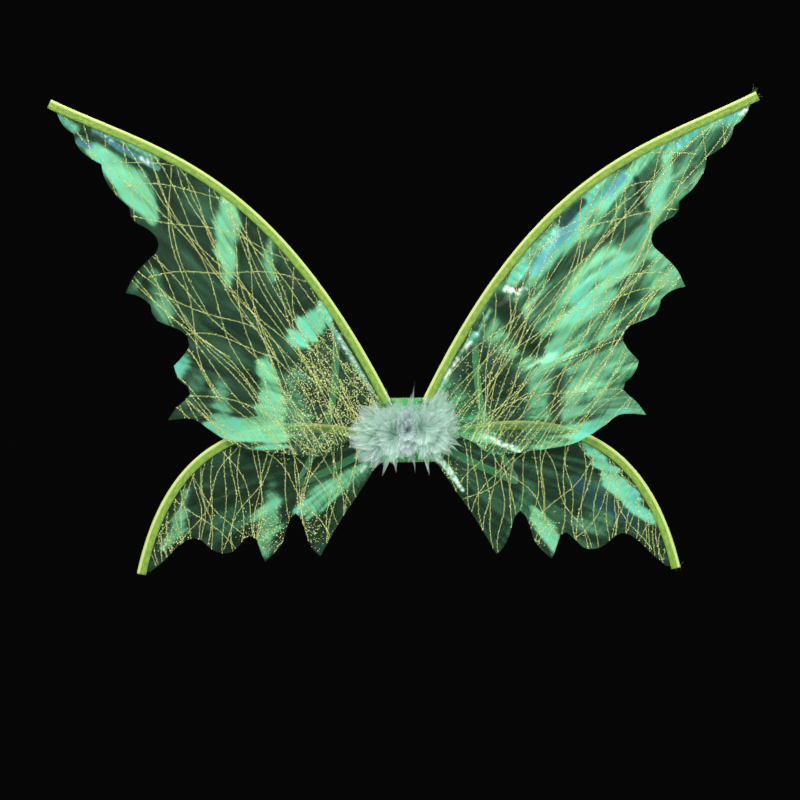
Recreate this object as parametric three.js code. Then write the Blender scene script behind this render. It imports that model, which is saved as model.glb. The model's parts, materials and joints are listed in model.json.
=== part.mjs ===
// Fairy wings: four clear film wings on two bent wires, sewn to a padded back piece
// that carries a tulle flower and two elastic arm loops.
//
// Units are millimetres. +Z is up, +X is the wearer's right, and the wearer's back is
// on the +Y side. The origin is the centre of the pad's rear face, which rests on the
// wearer. A wing is drawn in its own plane: t runs outwards from the upright root leg,
// z runs up, and b stands off the plane towards -Y.

import * as THREE from 'three';

// ---------- Driving dimensions ----------

const PIVOT_X = 14;
const PIVOT_Y = -13.2;
const UPPER_SWEEP = THREE.MathUtils.degToRad(10);
const LOWER_SWEEP = THREE.MathUtils.degToRad(4);

const PAD = { width: 62, height: 58, corner: 12, rear: 0, front: -5, bevel: 1.5 };
const BOARD = { width: 80, height: 66, corner: 10, rear: -6.6, front: -8.1 };
const COVER = { width: 84, height: 70, corner: 13, rear: -8.4, front: -10.2 };

const WIRE_RADIUS = 1;
const WIRE_SIDES = 8;
const LEG_TOP = 22;
const LEG_BOTTOM = -8;
const UPPER_BEND = 3.5;
const LOWER_BEND = 5;

const CHANNEL = { bottom: -1.5, top: 17.5, bore: 1.4, outer: 2.4, flange: 5.5, flangeThick: 0.8 };

const FILM_THICK = 0.6;
const FILM_INSET = 3;
const TAPE = { fold: 1.8, bore: 1.3, leaf: 8, gap: 0.3, thick: 0.5 };

const STRAP = { width: 8, thick: 1, steps: 60 };

// Spars: the wire's centre line in (t, z), root to tip, and where the tape starts along it.
const UPPER_SPAR = {
  curve: [[0, LEG_TOP], [132, 290], [253, 300], [364.5, 353]],
  tapeStart: 10,
  steps: 32,
};
const LOWER_SPAR = {
  curve: [[0, LEG_BOTTOM], [116, 20], [238, 27], [278.5, -151.5]],
  tapeStart: 9,
  steps: 26,
};
const WIRE_END_MARGIN = 9;
const BEAD = { start: 7.5, end: 2.5, radius: 1 };
const FILM_TIP_MARGIN = 4;

// Film edges in (t, z), tip to root. Each stroke is one smooth run between two corners.
const UPPER_EDGE = [
  [[359, 343], [352, 328], [341, 319]],
  [[341, 319], [337, 306], [326, 295], [312, 287]],
  [[312, 287], [309, 272], [298, 255], [283, 241]],
  [[283, 241], [280, 228], [262, 217], [253, 205], [255, 194], [266, 183], [279, 169], [288, 150]],
  [[288, 150], [273, 146], [262, 137]],
  [[262, 137], [257, 122], [240, 114], [226, 107], [221, 96], [227, 84], [238, 72]],
  [[238, 72], [233, 58], [222, 48], [222, 40], [236, 27], [245, 14]],
  [[245, 14], [219, 15], [203, 5], [187, -6], [164, -17], [120, -24], [80, -27], [62, -16]],
  [[62, -16], [38, -4], [14, 4]],
  [[14, 4], [12, 36]],
];
const LOWER_EDGE = [
  [[266, -150], [252, -139], [236, -123], [221, -114], [209, -118], [199, -127], [187, -131],
    [176, -129], [165, -118], [157, -112], [151, -116], [147, -129], [142, -141]],
  [[142, -141], [132, -132], [123, -121], [118, -104], [110, -89], [102, -96], [97, -113],
    [90, -128], [82, -136]],
  [[82, -136], [60, -98], [38, -66], [22, -42], [12, -24]],
  [[12, -24], [11, -11]],
];
const STROKE_STEP = 9;

// Tulle puffs: rings as [distance out, centre y, half depth, half height].
const SIDE_PUFF_RINGS = [
  [3.5, -18.5, 2, 2.5], [8, -20, 3, 7], [12.6, -21, 4, 12], [15, -31, 13, 24], [26, -33, 14, 34],
  [40, -36, 14, 40], [52, -38.5, 14, 38], [60, -40, 12.5, 31], [66, -41, 9, 20], [69, -41.5, 4, 9],
];
const SIDE_PUFFS = {
  left: { side: -1, rise: -4, tie: -9, stretch: 1.04 },
  right: { side: 1, rise: 2, tie: 9, stretch: 0.92 },
};
// The middle puff's rings: [y, half width, half height], rear to front.
const MIDDLE_PUFF_RINGS = [
  [-15.9, 1.8, 1.8], [-26.5, 2, 2], [-29, 7, 25], [-34, 11, 38], [-40, 12, 42], [-46, 10, 36],
  [-51, 6, 20], [-54, 2, 5],
];
const PUFF_SIDES = 14;
// Thread tie, turned about Y: [radius, distance forward of the cover].
const TIE_PROFILE = [[0, 0.3], [2.4, 0.3], [1.4, 1.4], [1.2, 3.4], [1.8, 4.6], [0, 5.2]];
const TIE_X = { left: -5, middle: 0, right: 5 };

// Right arm loop as worn: [x, y, z, outward normal], from the board up over the shoulder,
// down the chest, back under the arm and on to the board again.
const ARM_LOOP = [
  [14, -5.8, 13, 0, -1, 0],
  [19, -5.8, 24, 0, -1, 0],
  [25, -5.8, 36, 0, -1, 0],
  [34, -3.5, 54, 0, -1, 0.1],
  [44, 4, 74, 0, -0.9, 0.4],
  [55, 20, 94, 0, -0.65, 0.75],
  [67, 44, 107, 0, -0.2, 1],
  [76, 72, 107, 0, 0.3, 0.95],
  [80, 98, 92, 0, 0.75, 0.65],
  [82, 114, 62, 0, 0.95, 0.3],
  [87, 120, 26, 0.1, 1, 0],
  [98, 116, -10, 0.4, 0.9, -0.1],
  [112, 102, -36, 0.75, 0.65, -0.1],
  [121, 80, -52, 0.95, 0.3, 0],
  [124, 54, -58, 1, -0.05, 0],
  [118, 30, -57.5, 0.85, -0.5, 0],
  [104, 12, -51.5, 0.55, -0.85, 0],
  [84, 0, -42.5, 0.25, -0.97, 0],
  [64, -4.8, -32.5, 0.05, -1, 0],
  [47, -5.8, -24, 0, -1, 0],
  [31, -5.8, -16, 0, -1, 0],
  [16, -5.8, -8.5, 0, -1, 0],
];

// ---------- Finishes ----------

const FINISHES = {
  film: { color: 0x2fae8f, roughness: 0.15, metalness: 0.1 },
  satin: { color: 0x9fc43c, roughness: 0.45, metalness: 0 },
  steel: { color: 0x9a9c9e, roughness: 0.35, metalness: 1 },
  glue: { color: 0xd8d4c4, roughness: 0.5, metalness: 0 },
  cover: { color: 0x5fbf70, roughness: 0.6, metalness: 0 },
  board: { color: 0x3c8a4a, roughness: 0.7, metalness: 0 },
  pad: { color: 0x58b06c, roughness: 0.9, metalness: 0 },
  elastic: { color: 0x4fae6a, roughness: 0.8, metalness: 0 },
  tulle: { color: 0xbfe0d2, roughness: 0.9, metalness: 0 },
  thread: { color: 0xdfe8e0, roughness: 0.8, metalness: 0 },
};

// ---------- Solid building ----------

const group = new THREE.Group();

// Turns every face outwards: a closed mesh that is inside out has a negative volume.
function faceOutwards(positions, index) {
  const corner = [new THREE.Vector3(), new THREE.Vector3(), new THREE.Vector3()];
  let volume = 0;
  for (let i = 0; i < index.length; i += 3) {
    corner.forEach((c, k) => c.fromArray(positions, 3 * index[i + k]));
    volume += corner[0].dot(corner[1].cross(corner[2]));
  }
  return volume < 0 ? index.slice().reverse() : index;
}

function addSolid(name, finish, positions, index) {
  const geometry = new THREE.BufferGeometry();
  geometry.setAttribute('position', new THREE.Float32BufferAttribute(positions, 3));
  geometry.setIndex(faceOutwards(positions, index));
  geometry.computeVertexNormals();
  const mesh = new THREE.Mesh(geometry, new THREE.MeshStandardMaterial(FINISHES[finish]));
  mesh.name = name;
  group.add(mesh);
}

// A closed solid through rings of Vector3, all with as many points as the flat section
// whose triangles close the two ends.
function addLoft(name, finish, rings, section) {
  const count = section.length;
  const caps = THREE.ShapeUtils.triangulateShape(section, []);
  if (THREE.ShapeUtils.isClockWise(section)) {
    caps.forEach((face) => face.reverse());
  }
  const last = (rings.length - 1) * count;
  const index = [];
  for (let r = 0; r + 1 < rings.length; r++) {
    for (let i = 0; i < count; i++) {
      const a = r * count + i;
      const b = r * count + (i + 1) % count;
      index.push(a, b, b + count, a, b + count, a + count);
    }
  }
  for (const [a, b, c] of caps) {
    index.push(a, c, b, last + a, last + b, last + c);
  }
  addSolid(name, finish, rings.flat().flatMap((p) => p.toArray()), index);
}

const v2 = ([x, y]) => new THREE.Vector2(x, y);

function circle(radius, sides, from = 0) {
  return Array.from({ length: sides }, (_, i) => {
    const angle = from + (2 * Math.PI * i) / sides;
    return new THREE.Vector2(radius * Math.cos(angle), radius * Math.sin(angle));
  });
}

function arc(radius, fromDeg, toDeg, steps) {
  return Array.from({ length: steps + 1 }, (_, i) => {
    const angle = THREE.MathUtils.degToRad(fromDeg + ((toDeg - fromDeg) * i) / steps);
    return new THREE.Vector2(radius * Math.cos(angle), radius * Math.sin(angle));
  });
}

// ---------- Back piece ----------

function roundedOutline(width, height, corner) {
  const right = width / 2 - corner;
  const top = height / 2 - corner;
  const centres = [[right, top, 0], [-right, top, 90], [-right, -top, 180], [right, -top, 270]];
  return centres.flatMap(([x, z, from]) =>
    arc(corner, from, from + 90, 5).map((p) => p.add(new THREE.Vector2(x, z))));
}

function addPlate(name, finish, { width, height, corner, rear, front, bevel = 0 }) {
  const full = roundedOutline(width, height, corner);
  const rearFace = roundedOutline(width - 2 * bevel, height - 2 * bevel, corner - bevel);
  const ring = (outline, y) => outline.map((p) => new THREE.Vector3(p.x, y, p.y));
  const rings = [ring(rearFace, rear), ring(full, front)];
  if (bevel > 0) {
    rings.splice(1, 0, ring(full, rear - bevel));
  }
  addLoft(name, finish, rings, full);
}

// A sewn tunnel for the wire's root leg: a dome over the leg and a flange on each side.
function addRootChannel(name, side) {
  const { bottom, top, bore, outer, flange, flangeThick } = CHANNEL;
  const base = COVER.front - 0.3 - PIVOT_Y;
  const shape = new THREE.Shape([
    new THREE.Vector2(-flange, base),
    new THREE.Vector2(flange, base),
    new THREE.Vector2(flange, base - flangeThick),
    new THREE.Vector2(outer, base - flangeThick),
    ...arc(outer, 0, -180, 8),
    new THREE.Vector2(-outer, base - flangeThick),
    new THREE.Vector2(-flange, base - flangeThick),
  ].map((p) => new THREE.Vector2(p.x, p.y)));
  shape.holes.push(new THREE.Path(circle(bore, 12)));
  const extruded = new THREE.ExtrudeGeometry(shape, { depth: top - bottom, bevelEnabled: false, steps: 1 });
  extruded.translate(side * PIVOT_X, PIVOT_Y, bottom);
  const positions = Array.from(extruded.getAttribute('position').array);
  addSolid(name, 'cover', positions, Array.from({ length: positions.length / 3 }, (_, i) => i));
}

// ---------- Wings ----------

function place(side, sweep, t, z, b = 0) {
  const x = side * (PIVOT_X + t * Math.cos(sweep) - b * Math.sin(sweep));
  const y = PIVOT_Y - t * Math.sin(sweep) - b * Math.cos(sweep);
  return new THREE.Vector3(x, y, z);
}

const sparCurve = ({ curve }) => new THREE.CubicBezierCurve(...curve.map(v2));

// A point on the spar and the unit vector from it into the wing.
function sparStation(curve, distance) {
  const u = THREE.MathUtils.clamp(distance / curve.getLength(), 0, 1);
  const point = curve.getPointAt(u);
  const tangent = curve.getTangentAt(u);
  return { point, inward: new THREE.Vector2(tangent.y, -tangent.x) };
}

function sparDistances({ tapeStart, steps }, curve) {
  const length = curve.getLength();
  return Array.from({ length: steps + 1 }, (_, i) => tapeStart + ((length - tapeStart) * i) / steps);
}

// Tape folded over the wire, as a section in (a, b): a runs from the wire into the wing.
function tapeSection() {
  const inner = FILM_THICK / 2 + TAPE.gap;
  const outer = inner + TAPE.thick;
  const shoulder = FILM_INSET - 0.4;
  return [
    new THREE.Vector2(TAPE.leaf, inner),
    new THREE.Vector2(TAPE.leaf, outer),
    new THREE.Vector2(shoulder, outer),
    ...arc(TAPE.fold, 60, 300, 7),
    new THREE.Vector2(shoulder, -outer),
    new THREE.Vector2(TAPE.leaf, -outer),
    new THREE.Vector2(TAPE.leaf, -inner),
    new THREE.Vector2(shoulder, -inner),
    ...arc(TAPE.bore, 300, 60, 5),
    new THREE.Vector2(shoulder, inner),
  ];
}

function addBinding(name, side, sweep, spar) {
  const curve = sparCurve(spar);
  const section = tapeSection();
  const rings = sparDistances(spar, curve).map((distance) => {
    const { point, inward } = sparStation(curve, distance);
    return section.map((s) =>
      place(side, sweep, point.x + inward.x * s.x, point.y + inward.y * s.x, s.y));
  });
  addLoft(name, 'satin', rings, section);
}

// The film's outline: along the spar inside the tape, then back along the cut edge.
function filmOutline(spar, edge) {
  const curve = sparCurve(spar);
  const length = curve.getLength();
  const along = sparDistances(spar, curve)
    .slice(1, -1)
    .concat(length - FILM_TIP_MARGIN)
    .map((distance) => {
      const { point, inward } = sparStation(curve, distance);
      return point.addScaledVector(inward, FILM_INSET);
    });
  const cut = edge.flatMap((stroke) => {
    const spline = new THREE.SplineCurve(stroke.map(v2));
    const steps = stroke.length === 2 ? 1 : Math.max(2, Math.round(spline.getLength() / STROKE_STEP));
    return spline.getSpacedPoints(steps).slice(0, -1);
  });
  return along.concat(cut, v2(edge.at(-1).at(-1)));
}

function addFilm(name, side, sweep, spar, edge) {
  const outline = filmOutline(spar, edge);
  const ring = (b) => outline.map((p) => place(side, sweep, p.x, p.y, b));
  addLoft(name, 'film', [ring(-FILM_THICK / 2), ring(FILM_THICK / 2)], outline);
}

// ---------- Wires ----------

// A round bar along points, with a radius for each, turned as little as possible.
function addBar(name, finish, points, radii) {
  const section = circle(1, WIRE_SIDES);
  const tangents = points.map((p, i) => {
    const before = points[Math.max(i - 1, 0)];
    const after = points[Math.min(i + 1, points.length - 1)];
    return after.clone().sub(before).normalize();
  });
  const normal = new THREE.Vector3(0, 1, 0);
  const rings = points.map((p, i) => {
    normal.addScaledVector(tangents[i], -normal.dot(tangents[i])).normalize();
    const across = tangents[i].clone().cross(normal);
    return section.map((s) =>
      p.clone().addScaledVector(normal, s.x * radii[i]).addScaledVector(across, s.y * radii[i]));
  });
  addLoft(name, finish, rings, section);
}

function wireRun(side, sweep, spar) {
  const curve = sparCurve(spar);
  return sparDistances(spar, curve)
    .slice(0, -1)
    .concat(curve.getLength() - WIRE_END_MARGIN)
    .filter((distance) => distance <= curve.getLength() - WIRE_END_MARGIN)
    .map((distance) => {
      const { point } = sparStation(curve, distance);
      return place(side, sweep, point.x, point.y);
    });
}

// The bend between the upright leg and a spar, from the leg outwards.
function rootBend(side, sweep, spar, legEnd, bend, towardsLeg) {
  const { point } = sparStation(sparCurve(spar), bend);
  const turn = new THREE.QuadraticBezierCurve(
    new THREE.Vector2(0, legEnd + towardsLeg * bend),
    new THREE.Vector2(0, legEnd),
    point,
  );
  return turn.getPoints(6).map((p) => place(side, sweep, p.x, p.y));
}

function addWire(name, side) {
  const upper = rootBend(side, UPPER_SWEEP, UPPER_SPAR, LEG_TOP, UPPER_BEND, -1)
    .concat(wireRun(side, UPPER_SWEEP, UPPER_SPAR));
  const lower = rootBend(side, LOWER_SWEEP, LOWER_SPAR, LEG_BOTTOM, LOWER_BEND, 1)
    .concat(wireRun(side, LOWER_SWEEP, LOWER_SPAR));
  const points = upper.reverse().concat(lower);
  addBar(name, 'steel', points, points.map(() => WIRE_RADIUS));
}

// A drop of glue on the wire's end, inside the tape.
function addTipBead(name, side, sweep, spar) {
  const curve = sparCurve(spar);
  const profile = [0.5, 0.9, 1, 1, 0.9, 0.5];
  const points = profile.map((_, i) => {
    const back = BEAD.start + ((BEAD.end - BEAD.start) * i) / (profile.length - 1);
    const { point } = sparStation(curve, curve.getLength() - back);
    return place(side, sweep, point.x, point.y);
  });
  addBar(name, 'glue', points, profile.map((r) => r * BEAD.radius));
}

// ---------- Arm loops ----------

function addStrap(name, side) {
  const path = new THREE.CatmullRomCurve3(
    ARM_LOOP.map(([x, y, z]) => new THREE.Vector3(side * x, y, z)), false, 'centripetal');
  const outward = new THREE.CatmullRomCurve3(
    ARM_LOOP.map(([, , , x, y, z]) => new THREE.Vector3(side * x, y, z)));
  const half = new THREE.Vector2(STRAP.width / 2, STRAP.thick / 2);
  const section = [[-1, -1], [1, -1], [1, 1], [-1, 1]].map(v2).map((p) => p.multiply(half));
  const rings = Array.from({ length: STRAP.steps + 1 }, (_, i) => {
    const u = i / STRAP.steps;
    const centre = path.getPoint(u);
    const tangent = path.getTangent(u);
    const normal = outward.getPoint(u);
    normal.addScaledVector(tangent, -normal.dot(tangent)).normalize();
    const across = tangent.clone().cross(normal);
    return section.map((s) =>
      centre.clone().addScaledVector(across, s.x).addScaledVector(normal, s.y));
  });
  addLoft(name, 'elastic', rings, section);
}

// ---------- Tulle flower ----------

function addSidePuff(name, { side, rise, stretch }) {
  const section = circle(1, PUFF_SIDES);
  const tie = SIDE_PUFFS[name].tie;
  const rings = SIDE_PUFF_RINGS.map(([out, y, depth, height], i) => {
    const centre = THREE.MathUtils.lerp(tie, rise, Math.min(i / 3, 1));
    const x = i < 4 ? out : SIDE_PUFF_RINGS[3][0] + (out - SIDE_PUFF_RINGS[3][0]) * stretch;
    return section.map((s) => new THREE.Vector3(side * x, y + depth * s.x, centre + height * s.y));
  });
  addLoft(`tulle_puff_${name}`, 'tulle', rings, section);
}

function addMiddlePuff() {
  const section = circle(1, PUFF_SIDES);
  const rings = MIDDLE_PUFF_RINGS.map(([y, width, height]) =>
    section.map((s) => new THREE.Vector3(width * s.x, y, height * s.y)));
  addLoft('tulle_puff_middle', 'tulle', rings, section);
}

function addTie(name, x, z) {
  const section = circle(1, 10);
  const rings = TIE_PROFILE.filter(([radius]) => radius > 0).map(([radius, forward]) =>
    section.map((s) => new THREE.Vector3(x + radius * s.x, COVER.front - forward, z + radius * s.y)));
  addLoft(name, 'thread', rings, section);
}

// ---------- Assembly ----------

addPlate('back_pad', 'pad', PAD);
addPlate('base_board', 'board', BOARD);
addPlate('cover_panel', 'cover', COVER);

for (const [label, side] of [['left', -1], ['right', 1]]) {
  addRootChannel(`root_channel_${label}`, side);
  addWire(`wing_wire_${label}`, side);
  addBinding(`upper_binding_${label}`, side, UPPER_SWEEP, UPPER_SPAR);
  addBinding(`lower_binding_${label}`, side, LOWER_SWEEP, LOWER_SPAR);
  addFilm(`upper_film_${label}`, side, UPPER_SWEEP, UPPER_SPAR, UPPER_EDGE);
  addFilm(`lower_film_${label}`, side, LOWER_SWEEP, LOWER_SPAR, LOWER_EDGE);
  addTipBead(`upper_tip_bead_${label}`, side, UPPER_SWEEP, UPPER_SPAR);
  addTipBead(`lower_tip_bead_${label}`, side, LOWER_SWEEP, LOWER_SPAR);
  addStrap(`arm_strap_${label}`, side);
  addSidePuff(label, SIDE_PUFFS[label]);
  addTie(`puff_tie_${label}`, TIE_X[label], SIDE_PUFFS[label].tie);
}

addMiddlePuff();
addTie('puff_tie_middle', TIE_X.middle, 0);

export default group;
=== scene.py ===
"""Fairy wings: the finished looks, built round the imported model.

Drawing is done in millimetres and turned into metres when a mesh is made. A wing is
drawn in its own plane: t runs outwards from the upright root leg of the wire, z runs
up, and b stands off the plane towards -Y, which is the side that shows when worn.
"""

from __future__ import annotations

import json
import logging
import math
from dataclasses import dataclass, field
from enum import Enum
from typing import Any, Sequence

import bmesh
import bpy
import numpy as np
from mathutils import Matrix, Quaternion, Vector, geometry

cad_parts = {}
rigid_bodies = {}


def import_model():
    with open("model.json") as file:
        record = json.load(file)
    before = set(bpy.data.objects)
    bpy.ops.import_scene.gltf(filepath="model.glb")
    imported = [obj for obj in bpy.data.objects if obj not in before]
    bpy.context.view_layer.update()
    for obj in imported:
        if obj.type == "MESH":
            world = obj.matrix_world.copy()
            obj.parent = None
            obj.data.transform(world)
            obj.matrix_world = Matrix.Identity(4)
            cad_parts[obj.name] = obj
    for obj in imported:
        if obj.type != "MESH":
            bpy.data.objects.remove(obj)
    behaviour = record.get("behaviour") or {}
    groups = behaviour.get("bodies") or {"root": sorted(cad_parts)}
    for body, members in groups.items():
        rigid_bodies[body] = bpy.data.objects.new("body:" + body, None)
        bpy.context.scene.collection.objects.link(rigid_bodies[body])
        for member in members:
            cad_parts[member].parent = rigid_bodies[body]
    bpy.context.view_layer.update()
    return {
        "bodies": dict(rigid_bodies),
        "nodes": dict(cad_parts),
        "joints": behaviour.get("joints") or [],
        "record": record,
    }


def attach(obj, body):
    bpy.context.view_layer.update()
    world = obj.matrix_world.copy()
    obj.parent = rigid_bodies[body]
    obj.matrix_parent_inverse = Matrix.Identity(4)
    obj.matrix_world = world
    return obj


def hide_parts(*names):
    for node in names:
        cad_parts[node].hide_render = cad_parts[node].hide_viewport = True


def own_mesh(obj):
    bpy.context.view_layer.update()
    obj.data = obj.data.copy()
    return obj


LOG = logging.getLogger("fairy_wings")
MM = 0.001

# The upright root leg of the right wire, in millimetres. The left one is its mirror image.
PIVOT_X = 14.0
PIVOT_Y = -13.2


class Side(Enum):
    """The wearer's left (-X) and right (+X)."""

    LEFT = -1
    RIGHT = 1

    @property
    def label(self) -> str:
        """The word that names of nodes and pieces end in."""
        return self.name.lower()

    @property
    def body(self) -> str:
        """The moving body of the wing on this side."""
        return f"{self.label}_wing"


class Level(Enum):
    """The upper and the lower wing of a pair."""

    UPPER = "upper"
    LOWER = "lower"


BACK_PIECE = "back_piece"


# ---------------------------------------------------------------- shader arithmetic


class Wire:
    """A shader socket that takes part in Python arithmetic."""

    def __init__(self, recipe: "Recipe", socket: bpy.types.NodeSocket) -> None:
        """Keeps the socket and the recipe whose tree it is in."""
        self.recipe = recipe
        self.socket = socket

    def _math(self, operation: str, *values: "Wire | float") -> "Wire":
        """Adds a Math node on these values."""
        inputs = dict(enumerate(values))
        return self.recipe.node("ShaderNodeMath", {"operation": operation}, inputs)

    def __add__(self, other: "Wire | float") -> "Wire":
        """Sum."""
        return self._math("ADD", self, other)

    __radd__ = __add__

    def __sub__(self, other: "Wire | float") -> "Wire":
        """Difference."""
        return self._math("SUBTRACT", self, other)

    def __rsub__(self, other: float) -> "Wire":
        """Difference with the socket on the right."""
        return self._math("SUBTRACT", other, self)

    def __mul__(self, other: "Wire | float") -> "Wire":
        """Product."""
        return self._math("MULTIPLY", self, other)

    __rmul__ = __mul__

    def __truediv__(self, other: "Wire | float") -> "Wire":
        """Quotient."""
        return self._math("DIVIDE", self, other)

    def __pow__(self, other: float) -> "Wire":
        """Power."""
        return self._math("POWER", self, other)

    def sine(self) -> "Wire":
        """Sine of a value in radians."""
        return self._math("SINE", self)

    def clamped(self) -> "Wire":
        """The value kept between 0 and 1."""
        result = self._math("ADD", self, 0.0)
        result.socket.node.use_clamp = True
        return result

    def ramp(self, low: float, high: float) -> "Wire":
        """Smooth step from 0 at low to 1 at high."""
        settings = {"interpolation_type": "SMOOTHSTEP"}
        inputs = {"Value": self, "From Min": low, "From Max": high}
        return self.recipe.node("ShaderNodeMapRange", settings, inputs)


class Recipe:
    """The node tree of one material."""

    def __init__(self, name: str) -> None:
        """Starts a material with its Principled shader."""
        self.material = bpy.data.materials.new(name)
        self.material.use_nodes = True
        self.tree = self.material.node_tree
        self.shader = self.tree.nodes["Principled BSDF"]

    def node(
        self,
        kind: str,
        settings: dict[str, Any] | None = None,
        inputs: dict[str | int, Any] | None = None,
        output: str | int = 0,
    ) -> Wire:
        """Adds one node.

        Args:
            kind: Blender's node type.
            settings: the node's own properties, set before its sockets.
            inputs: a number, vector, colour or Wire for each named socket.
            output: the socket to hand on.

        Returns:
            The chosen output as a Wire.
        """
        made = self.tree.nodes.new(kind)
        for key, value in (settings or {}).items():
            setattr(made, key, value)
        for key, value in (inputs or {}).items():
            self.feed(made.inputs[key], value)
        return Wire(self, made.outputs[output])

    def feed(self, socket: bpy.types.NodeSocket, value: Any) -> None:
        """Links a Wire to a socket, or sets a plain value on it."""
        if isinstance(value, Wire):
            self.tree.links.new(value.socket, socket)
        else:
            socket.default_value = value

    def place(self, scale: Sequence[float] = (1, 1, 1), kind: str = "Object") -> Wire:
        """Object or UV coordinates, scaled on each axis."""
        where = self.node("ShaderNodeTexCoord", output=kind)
        return self.node("ShaderNodeMapping", None, {"Vector": where, "Scale": scale})

    def uv(self, scale: Sequence[float] = (1, 1, 1)) -> Wire:
        """UV coordinates, which are metres on each piece, scaled on each axis."""
        return self.place(scale, "UV")

    def attribute(self, name: str) -> Wire:
        """The piece's own painted value of that name."""
        return self.node("ShaderNodeAttribute", {"attribute_name": name}, output="Fac")

    def split(self, vector: Wire, axis: str) -> Wire:
        """One axis of a vector."""
        return self.node("ShaderNodeSeparateXYZ", None, {"Vector": vector}, axis)

    def noise(self, where: Wire, scale: float, detail: float = 3.0) -> Wire:
        """Cloudy noise from 0 to 1."""
        inputs = {"Vector": where, "Scale": scale, "Detail": detail}
        return self.node("ShaderNodeTexNoise", None, inputs, "Fac")

    def streaks(self, turn: float, along: float, across: float) -> Wire:
        """Noise drawn out along one direction of the UVs.

        Args:
            turn: the direction, in degrees from the first UV axis.
            along: how often the noise changes along it, per metre.
            across: how often the noise changes across it, per metre.

        Returns:
            The noise.
        """
        flat = self.uv()
        first, second = self.split(flat, "X"), self.split(flat, "Y")
        c, s = math.cos(math.radians(turn)), math.sin(math.radians(turn))
        ends = {0: (first * c + second * s) * along, 1: (second * c - first * s) * across}
        where = self.node("ShaderNodeCombineXYZ", {}, ends)
        return self.noise(where, 1.0, 3.0)

    def mix(self, factor: "Wire | float", first: Any, second: Any) -> Wire:
        """Blends two colours."""
        inputs = {"Factor": factor, 6: first, 7: second}
        return self.node("ShaderNodeMix", {"data_type": "RGBA"}, inputs, 2)

    def colours(self, factor: Wire, stops: Sequence[tuple[float, tuple]]) -> Wire:
        """A colour ramp through (position, colour) stops."""
        made = self.tree.nodes.new("ShaderNodeValToRGB")
        points = made.color_ramp.elements
        while len(points) < len(stops):
            points.new(0.5)
        for point, (position, colour) in zip(points, stops):
            point.position = position
            point.color = colour
        self.feed(made.inputs["Fac"], factor)
        return Wire(self, made.outputs["Color"])

    def bump(self, height: Wire, depth_mm: float, strength: float = 1.0) -> Wire:
        """A normal bent by a height of 0 to 1, depth_mm deep."""
        inputs = {"Height": height, "Distance": depth_mm * MM, "Strength": strength}
        return self.node("ShaderNodeBump", None, inputs)

    def done(self, **sockets: Any) -> bpy.types.Material:
        """Feeds the Principled shader's sockets, named with underscores for spaces."""
        for key, value in sockets.items():
            self.feed(self.shader.inputs[key.replace("_", " ")], value)
        return self.material


def colour(code: str) -> tuple[float, float, float, float]:
    """A screen colour such as "9cc43a" as linear RGBA."""
    parts = [int(code[i : i + 2], 16) / 255 for i in (0, 2, 4)]
    linear = [p / 12.92 if p <= 0.04045 else ((p + 0.055) / 1.055) ** 2.4 for p in parts]
    return (*linear, 1.0)


# ---------------------------------------------------------------- finishes


@dataclass(frozen=True)
class IridescentFilm:
    """Clear film that shines green and aqua where it catches the light."""

    night: str = "2c4430"
    deep_blue: str = "2a4050"
    # The colours from green to blue paint the sheen, and the next one paints the glints.
    green: str = "48a26c"
    mint: str = "8ee6ae"
    aqua: str = "76e8c6"
    blue: str = "68b4c6"
    glint: str = "f2fffa"
    brush_turn: float = 57.0
    thinnest: float = 0.3

    def build(self) -> bpy.types.Material:
        """The film's material, painted by the sheen, tint and glint attributes."""
        r = Recipe("iridescent_film")
        paints = ("sheen", "tint", "glint", "brushed")
        sheen, tint, glint, brushed = (r.attribute(name) for name in paints)
        fine = r.noise(r.uv(), 260.0, 3.0)
        # Streaks drawn out along one direction, which break up the painted sheen and shape the creases.
        streaks = r.streaks(self.brush_turn, 16.0, 330.0)
        dark = r.mix(tint.ramp(0.5, 0.85), colour(self.night), colour(self.deep_blue))
        stops = [
            (0.12, colour(self.green)),
            (0.42, colour(self.mint)),
            (0.68, colour(self.aqua)),
            (0.95, colour(self.blue)),
        ]
        drift = tint + (brushed - 0.5) * 0.3 + (streaks - 0.5) * 0.45
        bright = r.colours(drift.clamped(), stops)
        # The strength of the painted sheen, broken up by the streaks; the film is less clear where it
        # is stronger.
        level = (sheen * (0.2 + brushed * 0.85 + streaks * 0.62)).clamped()
        shine = r.mix(level.ramp(-0.1, 0.9), dark, bright)
        skin = r.mix(glint, shine, colour(self.glint))
        alpha = (self.thinnest + level * 0.56 + glint * 0.4).clamped()
        creases = fine * 0.3 + streaks * 0.4 + brushed * 0.3
        return r.done(
            Base_Color=skin,
            Alpha=alpha,
            Roughness=0.3 + fine * 0.15,
            Normal=r.bump(creases, 0.5, 0.35),
            Coat_Weight=0.04,
            Coat_Roughness=0.15,
            Specular_IOR_Level=0.22,
            Metallic=level * 0.25,
        )


@dataclass(frozen=True)
class GoldGlitter:
    """Gold grains, each with its own painted sparkle."""

    shade: str = "b6c458"
    flash: str = "fcffc0"

    def build(self) -> bpy.types.Material:
        """The grains' material."""
        r = Recipe("gold_glitter")
        sparkle = r.attribute("sparkle")
        # Painted sparkle: each grain lies between its plain gold and a pale painted flash.
        gold = r.mix(sparkle, colour(self.shade), colour(self.flash))
        return r.done(Base_Color=gold, Roughness=0.6 - sparkle * 0.2, Metallic=sparkle * 0.1)


@dataclass(frozen=True)
class GlitterGlue:
    """The olive glue line that holds the grains."""

    shade: str = "646c2a"
    tone: str = "a6b450"

    def build(self) -> bpy.types.Material:
        """The glue line's material."""
        r = Recipe("glitter_glue")
        patches = r.noise(r.place(), 900.0, 2.0)
        tone = r.mix(patches, colour(self.shade), colour(self.tone))
        return r.done(Base_Color=tone, Roughness=0.5 + patches * 0.3)


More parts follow.
